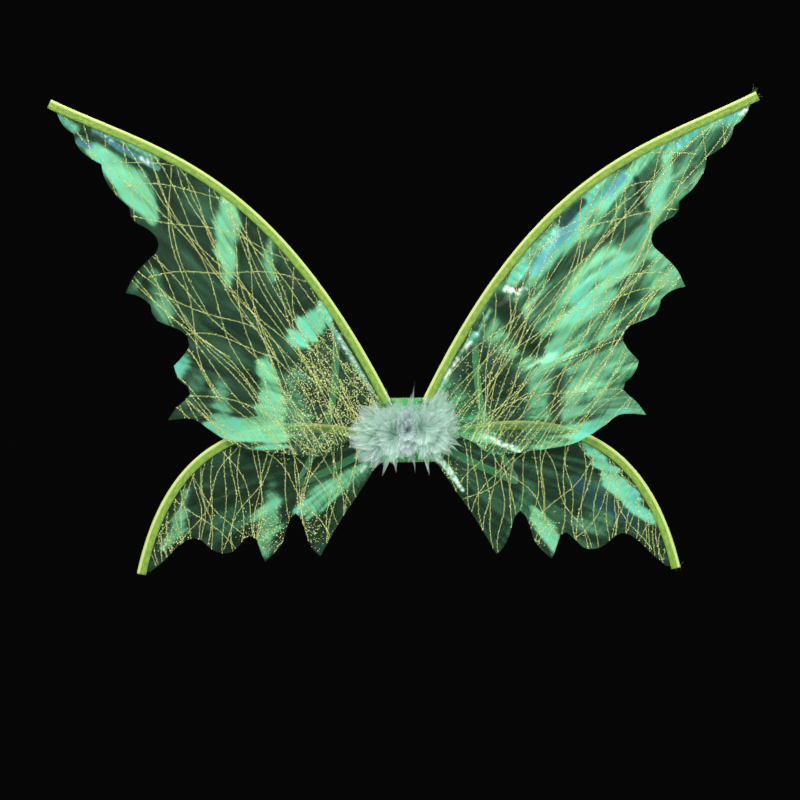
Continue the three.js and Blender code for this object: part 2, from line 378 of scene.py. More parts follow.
@dataclass(frozen=True)
class Satin:
    """Woven satin, lit along its threads, with a painted highlight along its fold where it has a fold.
    UVs run along and across the tape in metres.
    """

    name: str
    base: str
    # light paints the highlight along a fold, or lightens random mottling where there is none.
    light: str
    dark: str
    fold_at: float = 0.0
    fold_reach: float = 0.003
    warp: float = 7500.0
    weft: float = 11000.0

    def build(self) -> bpy.types.Material:
        """The cloth's material."""
        r = Recipe(self.name)
        along, across = r.split(r.uv(), "X"), r.split(r.uv(), "Y")
        weave = (along * self.warp).sine() * 0.5 + (across * self.weft).sine() * 0.5
        mottled = r.noise(r.uv((160, 420, 1)), 1.0, 3.0)
        tone = r.mix(mottled.ramp(0.25, 0.8), colour(self.dark), colour(self.base))
        # A painted highlight in a band along the fold.
        if self.fold_at:
            gap = r.node("ShaderNodeMath", {"operation": "ABSOLUTE"}, {0: across - self.fold_at})
            edge = 1.0 - (gap / self.fold_reach).ramp(0.45, 1.0)
            tone = r.mix(edge * 0.9, tone, colour(self.light))
        else:
            tone = r.mix(mottled.ramp(0.6, 0.95) * 0.6, tone, colour(self.light))
        wrinkles = r.noise(r.uv((300, 90, 1)), 1.0, 2.0)
        normal = r.bump(weave * 0.12 + wrinkles * 0.8, 0.6, 0.8)
        return r.done(
            Base_Color=tone,
            Roughness=0.42 + mottled * 0.2,
            Normal=normal,
            Sheen_Weight=0.25,
            Sheen_Roughness=0.4,
            Specular_IOR_Level=0.5,
        )


@dataclass(frozen=True)
class Elastic:
    """Braided elastic: lengthwise ribs crossed by fine picks, with painted shade in the grooves between
    them.
    """

    base: str = "4fb26e"
    # The second colour is painted shade in the grooves.
    groove: str = "2f8550"
    rib_pitch: float = 0.00085
    pick_pitch: float = 0.0007

    def build(self) -> bpy.types.Material:
        """The webbing's material, on UVs in metres."""
        r = Recipe("elastic")
        along, across = r.split(r.uv(), "X"), r.split(r.uv(), "Y")
        ribs = (across * (2 * math.pi / self.rib_pitch)).sine() * 0.5 + 0.5
        picks = (along * (2 * math.pi / self.pick_pitch)).sine() * 0.5 + 0.5
        thread = (ribs * 0.7 + picks * 0.3).clamped()
        worn = r.noise(r.uv((90, 90, 1)), 1.0, 3.0)
        # Painted shade in the grooves between ribs and picks, varied at random by the worn noise.
        tone = r.mix(thread * (0.75 + worn * 0.3), colour(self.groove), colour(self.base))
        return r.done(
            Base_Color=tone,
            Roughness=0.75 + worn * 0.15,
            Normal=r.bump(thread, 0.25, 0.8),
            Sheen_Weight=0.2,
        )


@dataclass(frozen=True)
class Tulle:
    """Sheer net in fine pleats, with painted shade deep in each bunch, painted highlights that make it
    paler at its hems and on its pleat crests, and ragged ends.
    """

    base: str = "b6e2cd"
    # light is the colour of painted highlights, and shade that of painted shade deep in a bunch.
    light: str = "e4f1ee"
    heart: str = "e0e5f4"
    shade: str = "8acaa8"
    thinnest: float = 0.24

    def build(self) -> bpy.types.Material:
        """The net's material, painted by the hem (painted highlight), depth (painted shade), pale and
        tip attributes.
        """
        r = Recipe("tulle")
        hem, depth, pale, tip = (r.attribute(name) for name in ("hem", "depth", "pale", "tip"))
        pleats = r.streaks(0.0, 16.0, 290.0)
        hairs = r.streaks(0.0, 45.0, 1000.0)
        # Painted shade: darker near the gather, deep inside the bunch.
        tone = r.mix(depth.ramp(0.1, 0.85), colour(self.shade), colour(self.base))
        # Painted highlights along the hems and on the pleat crests.
        tone = r.mix((hem * 0.55 + (pleats - 0.42) * 1.6).clamped(), tone, colour(self.light))
        tone = r.mix(pale, tone, colour(self.heart))
        body = self.thinnest + pleats.ramp(0.3, 0.72) * 0.36
        body = body + hairs.ramp(0.4, 0.8) * 0.08 + pale * 0.12
        worn = (tip.ramp(0.8, 1.0) * (1.3 - hairs * 1.1)).clamped()
        return r.done(
            Base_Color=tone,
            Alpha=(body * (1.0 - worn * 0.7)).clamped(),
            Roughness=0.9,
            Normal=r.bump(pleats, 0.5, 0.35),
            Sheen_Weight=0.3,
            Specular_IOR_Level=0.2,
        )


@dataclass(frozen=True)
class DrawnSteel:
    """Spring wire with fine drawing marks."""

    shade: str = "8e9092"
    light: str = "c4c6c8"

    def build(self) -> bpy.types.Material:
        """The wire's material."""
        r = Recipe("drawn_steel")
        marks = r.noise(r.place((400, 400, 30)), 6.0, 3.0)
        tone = r.mix(marks, colour(self.shade), colour(self.light))
        return r.done(Base_Color=tone, Metallic=1.0, Roughness=0.25 + marks * 0.2)


@dataclass(frozen=True)
class SoftPlain:
    """A quiet, slightly mottled surface: board, glue, thread or floor."""

    name: str
    base: str
    shade: str
    grain: float = 500.0
    roughness: float = 0.75
    depth: float = 0.2

    def build(self) -> bpy.types.Material:
        """The material."""
        r = Recipe(self.name)
        grain = r.noise(r.place(), self.grain, 4.0)
        tone = r.mix(grain.ramp(0.3, 0.75), colour(self.shade), colour(self.base))
        rough = self.roughness - 0.08 + grain * 0.16
        return r.done(Base_Color=tone, Roughness=rough, Normal=r.bump(grain, self.depth, 0.5))


@dataclass(frozen=True)
class KnitCover:
    """Fine knitted cloth over the pad's foam, with painted shade between its loops."""

    base: str = "58b878"
    shade: str = "37895a"
    pitch: float = 0.0011

    def build(self) -> bpy.types.Material:
        """The pad cover's material, on Object coordinates."""
        r = Recipe("knit_cover")
        turn = 2 * math.pi / self.pitch
        where = r.place()
        wales = (r.split(where, "X") * turn).sine() * 0.5 + 0.5
        lean = r.split(where, "Z") * (turn * 1.3) + wales * 1.6
        loops = (lean.sine() * 0.5 + 0.5) * wales
        cloud = r.noise(where, 120.0, 3.0)
        # Painted shade between the knitted loops, with a random cloudy tone.
        tone = r.mix((loops * 0.7 + cloud * 0.45).clamped(), colour(self.shade), colour(self.base))
        return r.done(
            Base_Color=tone,
            Roughness=0.85,
            Normal=r.bump(loops, 0.3, 0.8),
            Sheen_Weight=0.3,
        )


# ---------------------------------------------------------------- fields and curves


class Cloud:
    """Smooth random values over a plane, the same on each run."""

    SIZE = 64

    def __init__(self, seed: int) -> None:
        """Fills the lattice."""
        self.table = np.random.default_rng(seed).random((self.SIZE, self.SIZE))

    def __call__(self, x: np.ndarray, y: np.ndarray, octaves: int = 1) -> np.ndarray:
        """Values from 0 to 1 at x, y, where one unit is one lattice cell."""
        total = np.zeros_like(np.asarray(x, float))
        weight = 0.0
        for k in range(octaves):
            size = 2.0**k
            total += self._cell(np.asarray(x) * size, np.asarray(y) * size) / size
            weight += 1 / size
        return total / weight

    def _cell(self, x: np.ndarray, y: np.ndarray) -> np.ndarray:
        """One octave."""
        xi, yi = np.floor(x).astype(int), np.floor(y).astype(int)
        fx, fy = x - xi, y - yi
        fx, fy = fx * fx * (3 - 2 * fx), fy * fy * (3 - 2 * fy)
        n = self.SIZE
        low = self.table[xi % n, yi % n] * (1 - fx) + self.table[(xi + 1) % n, yi % n] * fx
        high = self.table[xi % n, (yi + 1) % n] * (1 - fx)
        high = high + self.table[(xi + 1) % n, (yi + 1) % n] * fx
        return low * (1 - fy) + high * fy


def smooth(low: float, high: float, value: np.ndarray) -> np.ndarray:
    """Smooth step from 0 at low to 1 at high."""
    x = np.clip((np.asarray(value, float) - low) / (high - low), 0, 1)
    return x * x * (3 - 2 * x)


def catmull(points: np.ndarray, step: float) -> np.ndarray:
    """A smooth open curve through points, sampled about every step."""
    padded = np.vstack([2 * points[0] - points[1], points, 2 * points[-1] - points[-2]])
    out = []
    for a, b, c, d in zip(padded, padded[1:], padded[2:], padded[3:]):
        count = max(1, round(float(np.linalg.norm(c - b)) / step))
        for u in np.arange(count) / count:
            out.append(
                0.5
                * (
                    2 * b
                    + (c - a) * u
                    + (2 * a - 5 * b + 4 * c - d) * u * u
                    + (3 * b - a - 3 * c + d) * u**3
                )
            )
    return np.array(out + [points[-1]])


def inside(loop: np.ndarray, t: np.ndarray, z: np.ndarray) -> np.ndarray:
    """Whether each point is inside a closed outline, by counting crossings."""
    result = np.zeros(np.shape(t), bool)
    for (t0, z0), (t1, z1) in zip(loop, np.roll(loop, -1, axis=0)):
        if z0 == z1:
            continue
        crosses = ((z0 > z) != (z1 > z)) & (t < (t1 - t0) * (z - z0) / (z1 - z0) + t0)
        result ^= crosses
    return result


def distance_to(line: np.ndarray, t: np.ndarray, z: np.ndarray) -> np.ndarray:
    """Distance from each point to the nearest point of a finely sampled line."""
    points = np.stack([np.ravel(t), np.ravel(z)], 1)
    best = np.full(len(points), np.inf)
    for p in line:
        best = np.minimum(best, np.hypot(points[:, 0] - p[0], points[:, 1] - p[1]))
    return best.reshape(np.shape(t))


# ---------------------------------------------------------------- meshes


@dataclass
class Piece:
    """A finished mesh in millimetres, with what it needs to join the model."""

    name: str
    verts: np.ndarray
    faces: Sequence[Sequence[int]]
    body: str
    slot: str | None
    material: bpy.types.Material
    replaces: Sequence[str] = ()
    uv: np.ndarray | None = None
    paints: dict[str, np.ndarray] = field(default_factory=dict)
    flat: bool = False

    def make(self) -> bpy.types.Object:
        """Builds the object, which rides on its body and takes its material."""
        mesh = bpy.data.meshes.new(self.name)
        mesh.from_pydata((np.asarray(self.verts) * MM).tolist(), [], list(map(tuple, self.faces)))
        mesh.update()
        if self.uv is not None:
            layer = mesh.uv_layers.new(name="UVMap")
            corners = np.zeros(len(mesh.loops), np.int32)
            mesh.loops.foreach_get("vertex_index", corners)
            layer.data.foreach_set("uv", np.asarray(self.uv)[corners].astype(np.float32).ravel())
        for name, values in self.paints.items():
            made = mesh.attributes.new(name, "FLOAT", "POINT")
            made.data.foreach_set("value", np.asarray(values, np.float32))
        mesh.polygons.foreach_set("use_smooth", [not self.flat] * len(mesh.polygons))
        obj = bpy.data.objects.new(self.name, mesh)
        bpy.context.scene.collection.objects.link(obj)
        mesh.materials.append(self.material)
        return adopt(obj, self.body, self.slot, self.replaces)


def adopt(
    obj: bpy.types.Object, body: str, slot: str | None, replaces: Sequence[str] = ()
) -> bpy.types.Object:
    """Rides a piece on a body and hides the nodes it stands for."""
    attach(obj, body)
    if replaces:
        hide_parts(*replaces)
    LOG.info("%s: %d faces on %s", obj.name, len(obj.data.polygons), body)
    return obj


def ring_faces(rings: int, count: int, closed: bool = True) -> list[tuple[int, int, int, int]]:
    """Quads between rings of count points, numbered ring by ring."""
    faces = []
    for r in range(rings - 1):
        for i in range(count if closed else count - 1):
            a, b = r * count + i, r * count + (i + 1) % count
            faces.append((a, b, b + count, a + count))
    return faces


def leaf_ends(rings: int, size: int) -> list[tuple[int, ...]]:
    """The quads that close both ends of a folded strip, from its outside to its inside."""
    faces = []
    for start, flip in ((0, False), ((rings - 1) * size, True)):
        for i in range(size // 2 - 1):
            face = (start + i, start + size - 1 - i, start + size - 2 - i, start + i + 1)
            faces.append(face[::-1] if flip else face)
    return faces


def outward(verts: np.ndarray, faces: list) -> list:
    """The same faces, turned so that a closed mesh has a positive volume."""
    volume = 0.0
    for face in faces:
        corner = np.asarray(verts)[list(face)]
        for k in range(1, len(face) - 1):
            volume += float(np.dot(corner[0], np.cross(corner[k], corner[k + 1])))
    return faces if volume > 0 else [tuple(reversed(face)) for face in faces]


def tube(points: np.ndarray, radii: np.ndarray, sides: int) -> tuple[np.ndarray, list]:
    """A closed round bar along points, turned as little as possible."""
    points = np.asarray(points, float)
    tangents = np.gradient(points, axis=0)
    tangents /= np.linalg.norm(tangents, axis=1)[:, None]
    normal = np.cross(tangents[0], [0.3, 0.2, 0.93])
    turn = np.arange(sides) * 2 * math.pi / sides
    rings = []
    for p, tangent, radius in zip(points, tangents, radii):
        normal = normal - tangent * np.dot(normal, tangent)
        normal /= np.linalg.norm(normal)
        across = np.cross(tangent, normal)
        rings.append(p + radius * (np.cos(turn)[:, None] * normal + np.sin(turn)[:, None] * across))
    verts = np.concatenate(rings)
    last = (len(points) - 1) * sides
    faces = ring_faces(len(points), sides)
    faces += [tuple(reversed(range(sides))), tuple(range(last, last + sides))]
    return verts, faces


def strand(points: np.ndarray, step: float, radius: float) -> tuple[np.ndarray, list]:
    """A short thread of one thickness, curved smoothly through points."""
    line = catmull(points, step)
    return tube(line, np.full(len(line), radius), 6)


def joined(parts: Sequence[tuple[np.ndarray, list]]) -> tuple[np.ndarray, list]:
    """Several shells as one list of points and one of faces."""
    verts, faces, base = [], [], 0
    for part_verts, part_faces in parts:
        verts.append(part_verts)
        faces += [tuple(i + base for i in face) for face in part_faces]
        base += len(part_verts)
    return np.concatenate(verts), faces


def triangulate(loop: np.ndarray, pitch: float, seed: int) -> tuple[np.ndarray, list]:
    """Even triangles over a closed outline, which keeps its own points first.

    Args:
        loop: the outline's points.
        pitch: the distance between the points inside it.
        seed: moves the inner points off their grid.

    Returns:
        The points, outline first, and the triangles.
    """
    low, high = loop.min(0), loop.max(0)
    columns = np.arange(low[0], high[0], pitch)
    rows = np.arange(low[1], high[1], pitch * math.sqrt(3) / 2)
    grid = np.array([(t + (r % 2) * pitch / 2, z) for r, z in enumerate(rows) for t in columns])
    grid = grid + np.random.default_rng(seed).uniform(-0.12, 0.12, grid.shape) * pitch
    keep = inside(loop, grid[:, 0], grid[:, 1])
    grid = grid[keep]
    grid = grid[distance_to(loop, grid[:, 0], grid[:, 1]) > pitch * 0.55]
    points = [Vector(p) for p in np.vstack([loop, grid])]
    rim = list(range(len(loop)))
    found = geometry.delaunay_2d_cdt(points, [], [rim], 1, 1e-5)
    return np.array([tuple(p) for p in found[0]]), [tuple(f) for f in found[2]]


# ---------------------------------------------------------------- wing geometry


@dataclass(frozen=True)
class WingPlane:
    """One wing's own plane, in millimetres."""

    side: Side
    level: Level
    pivot_x: float = PIVOT_X
    pivot_y: float = PIVOT_Y
    upper_sweep: float = 10.0
    lower_sweep: float = 4.0

    @property
    def label(self) -> str:
        """The ending of names on this wing, such as upper_left."""
        return f"{self.level.value}_{self.side.label}"

    def node(self, kind: str) -> str:
        """The name of this wing's node of one kind in the model."""
        return f"{self.level.value}_{kind}_{self.side.label}"

    @property
    def sweep(self) -> float:
        """How far the wing leans back, in radians."""
        return math.radians(self.upper_sweep if self.level is Level.UPPER else self.lower_sweep)

    def place(self, t: Any, z: Any, b: Any = 0.0) -> np.ndarray:
        """Points of the plane in the model's frame."""
        sin, cos = math.sin(self.sweep), math.cos(self.sweep)
        x = self.side.value * (self.pivot_x + t * cos - b * sin)
        y = self.pivot_y - t * sin - b * cos
        return np.stack(np.broadcast_arrays(x, y, z), -1)

    def flatten(self, points: np.ndarray) -> np.ndarray:
        """Points of the model's frame as (t, z, b)."""
        sin, cos = math.sin(self.sweep), math.cos(self.sweep)
        out = points[:, 0] * self.side.value - self.pivot_x
        front = self.pivot_y - points[:, 1]
        return np.stack([out * cos + front * sin, points[:, 2], front * cos - out * sin], 1)


class Spar:
    """The line of a wing's wire in its plane, root to tip."""

    CURVES = {
        Level.UPPER: ((0, 22), (132, 290), (253, 300), (364.5, 353)),
        Level.LOWER: ((0, -8), (116, 20), (238, 27), (278.5, -151.5)),
    }
    TAPE_START = {Level.UPPER: 10.0, Level.LOWER: 9.0}
    STEPS = 600

    def __init__(self, level: Level) -> None:
        """Samples the curve."""
        p = np.array(self.CURVES[level], float)
        u = np.linspace(0, 1, self.STEPS + 1)[:, None]
        v = 1 - u
        self.points = v**3 * p[0] + 3 * v * v * u * p[1] + 3 * v * u * u * p[2] + u**3 * p[3]
        steps = np.linalg.norm(np.diff(self.points, axis=0), axis=1)
        self.reach = np.concatenate([[0.0], np.cumsum(steps)])
        self.length = float(self.reach[-1])
        self.start = self.TAPE_START[level]
        tangents = np.gradient(self.points, self.reach, axis=0)
        self.tangents = tangents / np.linalg.norm(tangents, axis=1)[:, None]

    def at(self, distance: Any) -> tuple[np.ndarray, np.ndarray, np.ndarray]:
        """The point, the direction and the direction into the wing at a distance."""
        both = [
            np.stack([np.interp(distance, self.reach, a[:, k]) for k in (0, 1)], -1)
            for a in (self.points, self.tangents)
        ]
        point, tangent = both
        return point, tangent, np.stack([tangent[..., 1], -tangent[..., 0]], -1)

    def locate(self, t: np.ndarray, z: np.ndarray) -> tuple[np.ndarray, np.ndarray]:
        """Distance along the spar of the nearest point, and the offset into the wing."""
        where = np.stack([np.ravel(t), np.ravel(z)], 1)
        best = np.full(len(where), np.inf)
        index = np.zeros(len(where), int)
        for k in range(0, self.STEPS + 1, 3):
            gap = ((where - self.points[k]) ** 2).sum(1)
            closer = gap < best
            best[closer], index[closer] = gap[closer], k
        tangent = self.tangents[index]
        inward = np.stack([tangent[:, 1], -tangent[:, 0]], 1)
        offset = ((where - self.points[index]) * inward).sum(1)
        return self.reach[index].reshape(np.shape(t)), offset.reshape(np.shape(t))


@dataclass(frozen=True)
class Run:
    """A bright or dark run of painted sheen, or a painted glint, on a film: a line of (t, z, half
    width), and its look.
    """

    line: tuple[tuple[float, float, float], ...]
    strength: float
    tint: float = 0.4
    soft: float = 4.5

    def weight(self, t: np.ndarray, z: np.ndarray, ragged: np.ndarray) -> np.ndarray:
        """How much of the run falls on each point, with its width scaled by ragged."""
        best = np.full(np.shape(t), np.inf)
        for (t0, z0, w0), (t1, z1, w1) in zip(self.line, self.line[1:] or self.line):
            dt, dz = t1 - t0, z1 - z0
            share = ((t - t0) * dt + (z - z0) * dz) / max(dt * dt + dz * dz, 1e-9)
            share = np.clip(share, 0, 1)
            gap = np.hypot(t - t0 - share * dt, z - z0 - share * dz)
            best = np.minimum(best, gap - (w0 + (w1 - w0) * share) * ragged)
        return 1 - smooth(-self.soft, self.soft, best)


@dataclass
class FilmLook:
    """Where one film's painted sheen is bright, where it is dark, where it glints and where loose
    grains lie.

    Each patch of dust is (t, z, reach, count), in millimetres.
    """

    ground: float
    shines: Sequence[Run]
    shades: Sequence[Run] = ()
    glints: Sequence[Run] = ()
    dust: Sequence[tuple[float, float, float, int]] = ()


@dataclass
class Film:
    """One cut sheet of clear film, creased and fluted, held under its tape."""

    plane: WingPlane
    spar: Spar
    look: FilmLook
    flat: tuple[float, float]
    area: float
    seed: int
    rim_step: float = 1.7
    pitch: float = 2.1
    corner_turn: float = 32.0
    tape_grip: float = 8.0
    root: tuple[float, float] = (-10.0, -5.0)
    flutes: float = 24.0
    flute: float = 1.1
    crease: float = 2.2
    ridge: float = 0.6
    pucker: float = 0.5
    pucker_at: float = 13.0
    pucker_reach: float = 7.0
    most: float = 3.0
    most_over_lower: float = 0.7
    sharp_edge: float = 1.0

    def __post_init__(self) -> None:
        """Prepares the random fields."""
        self.soft = Cloud(self.seed)
        self.sharp = Cloud(self.seed + 1)
        self.loop = self._outline()

    def _outline(self) -> np.ndarray:
        """The film's outline in (t, z), from the model, smoothed between its corners."""
        shell = bmesh.new()
        shell.from_mesh(bpy.data.objects[self.plane.node("film")].data)
        bmesh.ops.remove_doubles(shell, verts=shell.verts, dist=1e-6)
        flat = self.plane.flatten(np.array([v.co for v in shell.verts]) / MM)
        links: dict[int, list[int]] = {}
        for edge in shell.edges:
            a, b = edge.verts[0].index, edge.verts[1].index
            if flat[a, 2] < 0 or flat[b, 2] < 0:
                continue
            if edge.calc_face_angle(0.0) > self.sharp_edge:
                links.setdefault(a, []).append(b)
                links.setdefault(b, []).append(a)
        shell.free()
        first = min(links)
        chain = [first, links[first][0]]
        while True:
            ahead = [n for n in links[chain[-1]] if n != chain[-2]]
            if not ahead or ahead[0] == first:
                break
            chain.append(ahead[0])
        return self._smoothed(flat[chain, :2])

    def _smoothed(self, rough: np.ndarray) -> np.ndarray:
        """A finer loop: curved between corners, sharp at them."""
        before = rough - np.roll(rough, 1, 0)
        after = np.roll(rough, -1, 0) - rough
        cross = before[:, 0] * after[:, 1] - before[:, 1] * after[:, 0]
        turn = np.degrees(np.abs(np.arctan2(cross, (before * after).sum(1))))
        corners = np.flatnonzero(turn > self.corner_turn)
        fine = []
        for a, b in zip(corners, np.append(corners[1:], corners[0] + len(rough))):
            run = rough[np.arange(a, b + 1) % len(rough)]
            fine.append(catmull(run, self.rim_step)[:-1])
        return np.vstack(fine)

    def _polar(self, t: np.ndarray, z: np.ndarray) -> tuple[np.ndarray, np.ndarray]:
        """The angle and the distance of each point from the wing's root."""
        dt, dz = t - self.root[0], z - self.root[1]
        return np.arctan2(dz, dt), np.hypot(dt, dz)

    def stand(self, t: np.ndarray, z: np.ndarray) -> np.ndarray:
        """How far the film stands off its plane."""
        along, into = self.spar.locate(t, z)
        angle, reach = self._polar(t, z)
        drift = self.soft(t / 60, z / 60, 2)
        waves = np.sin(angle * self.flutes + drift * 9) * self.flute * smooth(40, 220, reach)
        lumps = (self.soft(t / 34 + 9, z / 34 + 4, 2) - 0.5) * self.crease
        ridges = 0.5 - np.abs(self.sharp(angle * 9, reach / 95 + drift, 2) - 0.5) * 4
        seam = np.exp(-(((into - self.pucker_at) / self.pucker_reach) ** 2))
        pucker = np.sin(along * 0.62 + drift * 5) * seam * self.pucker
        free = smooth(self.tape_grip, self.tape_grip + 18, into)
        total = free * (waves + lumps + ridges * self.ridge) + pucker * smooth(8, 11, into)
        calm = smooth(14, 60, t)
        total = np.clip(total * (0.25 + 0.75 * calm), -self.most, self.most)
        over_lower = (1 - smooth(26, 34, z)) * (1 - smooth(100, 150, t))
        lift = (self.most - self.most_over_lower) * over_lower
        return np.maximum(total, lift - self.most)

    def paint(self, t: np.ndarray, z: np.ndarray) -> dict[str, np.ndarray]:
        """Painted sheen, tint, glint and the streaks that break up the sheen, at each point."""
        angle, reach = self._polar(t, z)
        bend = self.soft(t / 50 + 5, z / 50 + 2) * 1.6
        brushed = self.sharp(angle * 38 + bend, reach / 55, 4)
        ragged = 0.35 + 1.3 * brushed
        # Cloudy blotches and streaks vary the painted sheen.
        sheen_blotch = self.soft(t / 22 + 31, z / 22 + 7, 3)
        cloudy = smooth(0.25, 0.75, sheen_blotch * 0.35 + brushed * 0.65)
        sheen = self.look.ground * (0.45 + 1.1 * cloudy)
        tint = np.full(np.shape(t), 0.3)
        for run in self.look.shines:
            weight = run.weight(t, z, ragged)
            sheen = sheen + (run.strength - sheen) * weight * (sheen < run.strength)
            tint = tint + (run.tint - tint) * weight
        for run in self.look.shades:
            sheen = sheen * (1 - run.weight(t, z, ragged) * run.strength)
        glint = np.zeros(np.shape(t))
        crackle = smooth(0.42, 0.6, self.sharp(t / 3.6, z / 3.6, 2))
        for run in self.look.glints:
            glint += run.weight(t, z, ragged) * run.strength * crackle
        tint = tint + (self.soft(t / 26 + 3, z / 26 + 17, 2) - 0.5) * 0.4
        return {
            "sheen": np.clip(sheen, 0, 1.0),
            "tint": np.clip(tint, 0, 1),
            "glint": np.clip(glint, 0, 1),
            "brushed": brushed,
        }

    def make(self, material: bpy.types.Material) -> bpy.types.Object:
        """Builds the film."""
        points, faces = triangulate(self.loop, self.pitch, self.seed)
        t, z = points[:, 0], points[:, 1]
        verts = self.plane.place(t, z, self.stand(t, z))
        if self.plane.side is Side.LEFT:
            faces = [tuple(reversed(f)) for f in faces]
        piece = Piece(
            name=f"film_{self.plane.label}",
            verts=verts,
            faces=faces,
            body=self.plane.side.body,
            slot="wing_film",
            material=material,
            replaces=[self.plane.node("film")],
            uv=points * MM,
            paints=self.paint(t, z),
        )
        return piece.make()

    def declare(self, film: bpy.types.Object, others: Sequence[bpy.types.Object]) -> None:
        """Makes the name of the tape that holds the film, and does nothing more."""
        held_by = f"binding_{self.plane.label}"


@dataclass
class Glitter:
    """Gold grains on wavy glue lines over one film, and loose near its root and in patches."""

    film: Film
    seed: int
    scattered: int
    grain_gap: float = 1.45
    grain: float = 0.72
    bead_width: float = 0.45
    bead_height: float = 0.12
    bead_step: float = 2.5
    shortest: int = 14
    tape_edge: float = 8.6
    bare_root: float = 14.0
    sparse: float = 0.36
    fan: int = 30
    fan_base: tuple[float, float] = (-6.0, 238.0)
    crossers: tuple[int, ...] = (40, 98, 150, 166, 232, 262, 290)
    sewn_depth: float = 5.0

    def __post_init__(self) -> None:
        """Lays out the glue lines."""
        self.rng = np.random.default_rng(self.seed)
        upper = self.film.plane.level is Level.UPPER
        self.lines = self._upper_lines() if upper else self._lower_lines()

    def _walk(
        self,
        start: Sequence[float],
        heading: float,
        sway: float,
        wave: float,
        bend: float,
        limit: float,
    ) -> list[np.ndarray]:
        """The stretches of a wavy line that lie on the film, with a point each millimetre.

        Args:
            start: where it starts, in (t, z).
            heading: its first direction, in degrees.
            sway: how far its direction swings, in degrees.
            wave: the length of one swing.
            bend: how fast its direction drifts, in degrees per millimetre.
            limit: its length.

        Returns:
            One array of points for each stretch.
        """
        s = np.arange(0, limit, 1.0)
        phase = self.rng.uniform(0, 2 * math.pi)
        angle = np.radians(heading + bend * s + sway * np.sin(s * 2 * math.pi / wave + phase))
        line = np.array(start) + np.cumsum(np.stack([np.cos(angle), np.sin(angle)], 1), 0)
        kept = self._on_film(line) & (np.hypot(line[:, 0], line[:, 1]) > self.bare_root)
        edges = np.flatnonzero(np.diff(np.concatenate([[0], kept.astype(int), [0]])))
        return [line[a:b] for a, b in zip(edges[::2], edges[1::2]) if b - a > self.shortest]

    def _on_film(self, where: np.ndarray) -> np.ndarray:
        """Whether each (t, z) point is on the film, clear of the tape."""
        t, z = where[:, 0], where[:, 1]
        _, into = self.film.spar.locate(t, z)
        return inside(self.film.loop, t, z) & (into > self.tape_edge)

    def _upper_lines(self) -> list[np.ndarray]:
        """Lines that fan out from the root, lines that hang from the tape, and crossers."""
        draw = self.rng.uniform
        lines = []
        for t in np.linspace(*self.fan_base, self.fan) + draw(-3, 3, self.fan):
            start = (t, draw(-30, -22) if t > 40 else draw(-10, 4))
            heading = draw(42, 66) - 0.03 * t
            lines += self._walk(start, heading, draw(6, 13), draw(110, 230), draw(-0.03, 0.04), 520)
        for s in np.arange(130, 500, 24.0):
            point, _, inward = self.film.spar.at(s + draw(-7, 7))
            bend = -draw(0.06, 0.14)
            swing = draw(-104, -86), draw(5, 12), draw(90, 160)
            lines += self._walk(point + inward * self.sewn_depth, *swing, bend, draw(150, 420))
        for z in self.crossers:
            start = (draw(225, 240) + z * 0.22, z)
            swing = draw(166, 190), draw(5, 14), draw(90, 140)
            lines += self._walk(start, *swing, draw(0.12, 0.3), draw(110, 230))
        return lines

    def _lower_lines(self) -> list[np.ndarray]:
        """Lines that hang from the tape down to the cut edge, and slanting crossers."""
        draw = self.rng.uniform
        lines = []
        for s in np.arange(24, 345, 10.5):
            point, _, inward = self.film.spar.at(s + draw(-3, 3))
            heading = -92 + draw(-9, 9) - (s - 180) * 0.03
            swing = heading, draw(6, 16), draw(60, 120)
            lines += self._walk(point + inward * self.sewn_depth, *swing, 0.0, 190)
        for s in np.arange(90, 340, 36.0):
            point, _, inward = self.film.spar.at(s + draw(-6, 6))
            heading = draw(-146, -116)
            swing = heading, draw(8, 20), draw(80, 130)
            lines += self._walk(point + inward * self.sewn_depth, *swing, draw(-0.1, 0.3), 170)
        for s in np.arange(70, 230, 50.0):
            point, _, inward = self.film.spar.at(s + draw(-6, 6))
            swing = draw(-66, -50), draw(10, 18), 90
            lines += self._walk(point + inward * self.sewn_depth, *swing, 0.0, 150)
        return lines

    def beads(self, material: bpy.types.Material) -> bpy.types.Object:
        """The glue lines, as low ridges on the film."""
        parts = []
        for line in self.lines:
            count = max(3, round(len(line) / self.bead_step))
            where = line[np.linspace(0, len(line) - 1, count).astype(int)]
            tangent = np.gradient(where, axis=0)
            tangent /= np.linalg.norm(tangent, axis=1)[:, None]
            across = np.stack([-tangent[:, 1], tangent[:, 0]], 1) * self.bead_width / 2
            stand = self.film.stand(where[:, 0], where[:, 1])
            left, right = where - across, where + across
            plane = self.film.plane
            rings = np.stack([
                plane.place(left[:, 0], left[:, 1], stand + 0.02),
                plane.place(where[:, 0], where[:, 1], stand + 0.02 + self.bead_height),
                plane.place(right[:, 0], right[:, 1], stand + 0.02),
            ], 1)
            verts = rings.reshape(-1, 3)
            last = 3 * (count - 1)
            faces = ring_faces(count, 3) + [(2, 1, 0), (last, last + 1, last + 2)]
            parts.append((verts, outward(verts, faces)))
        verts, faces = joined(parts)
        return self._piece("glue_lines", verts, faces, material)

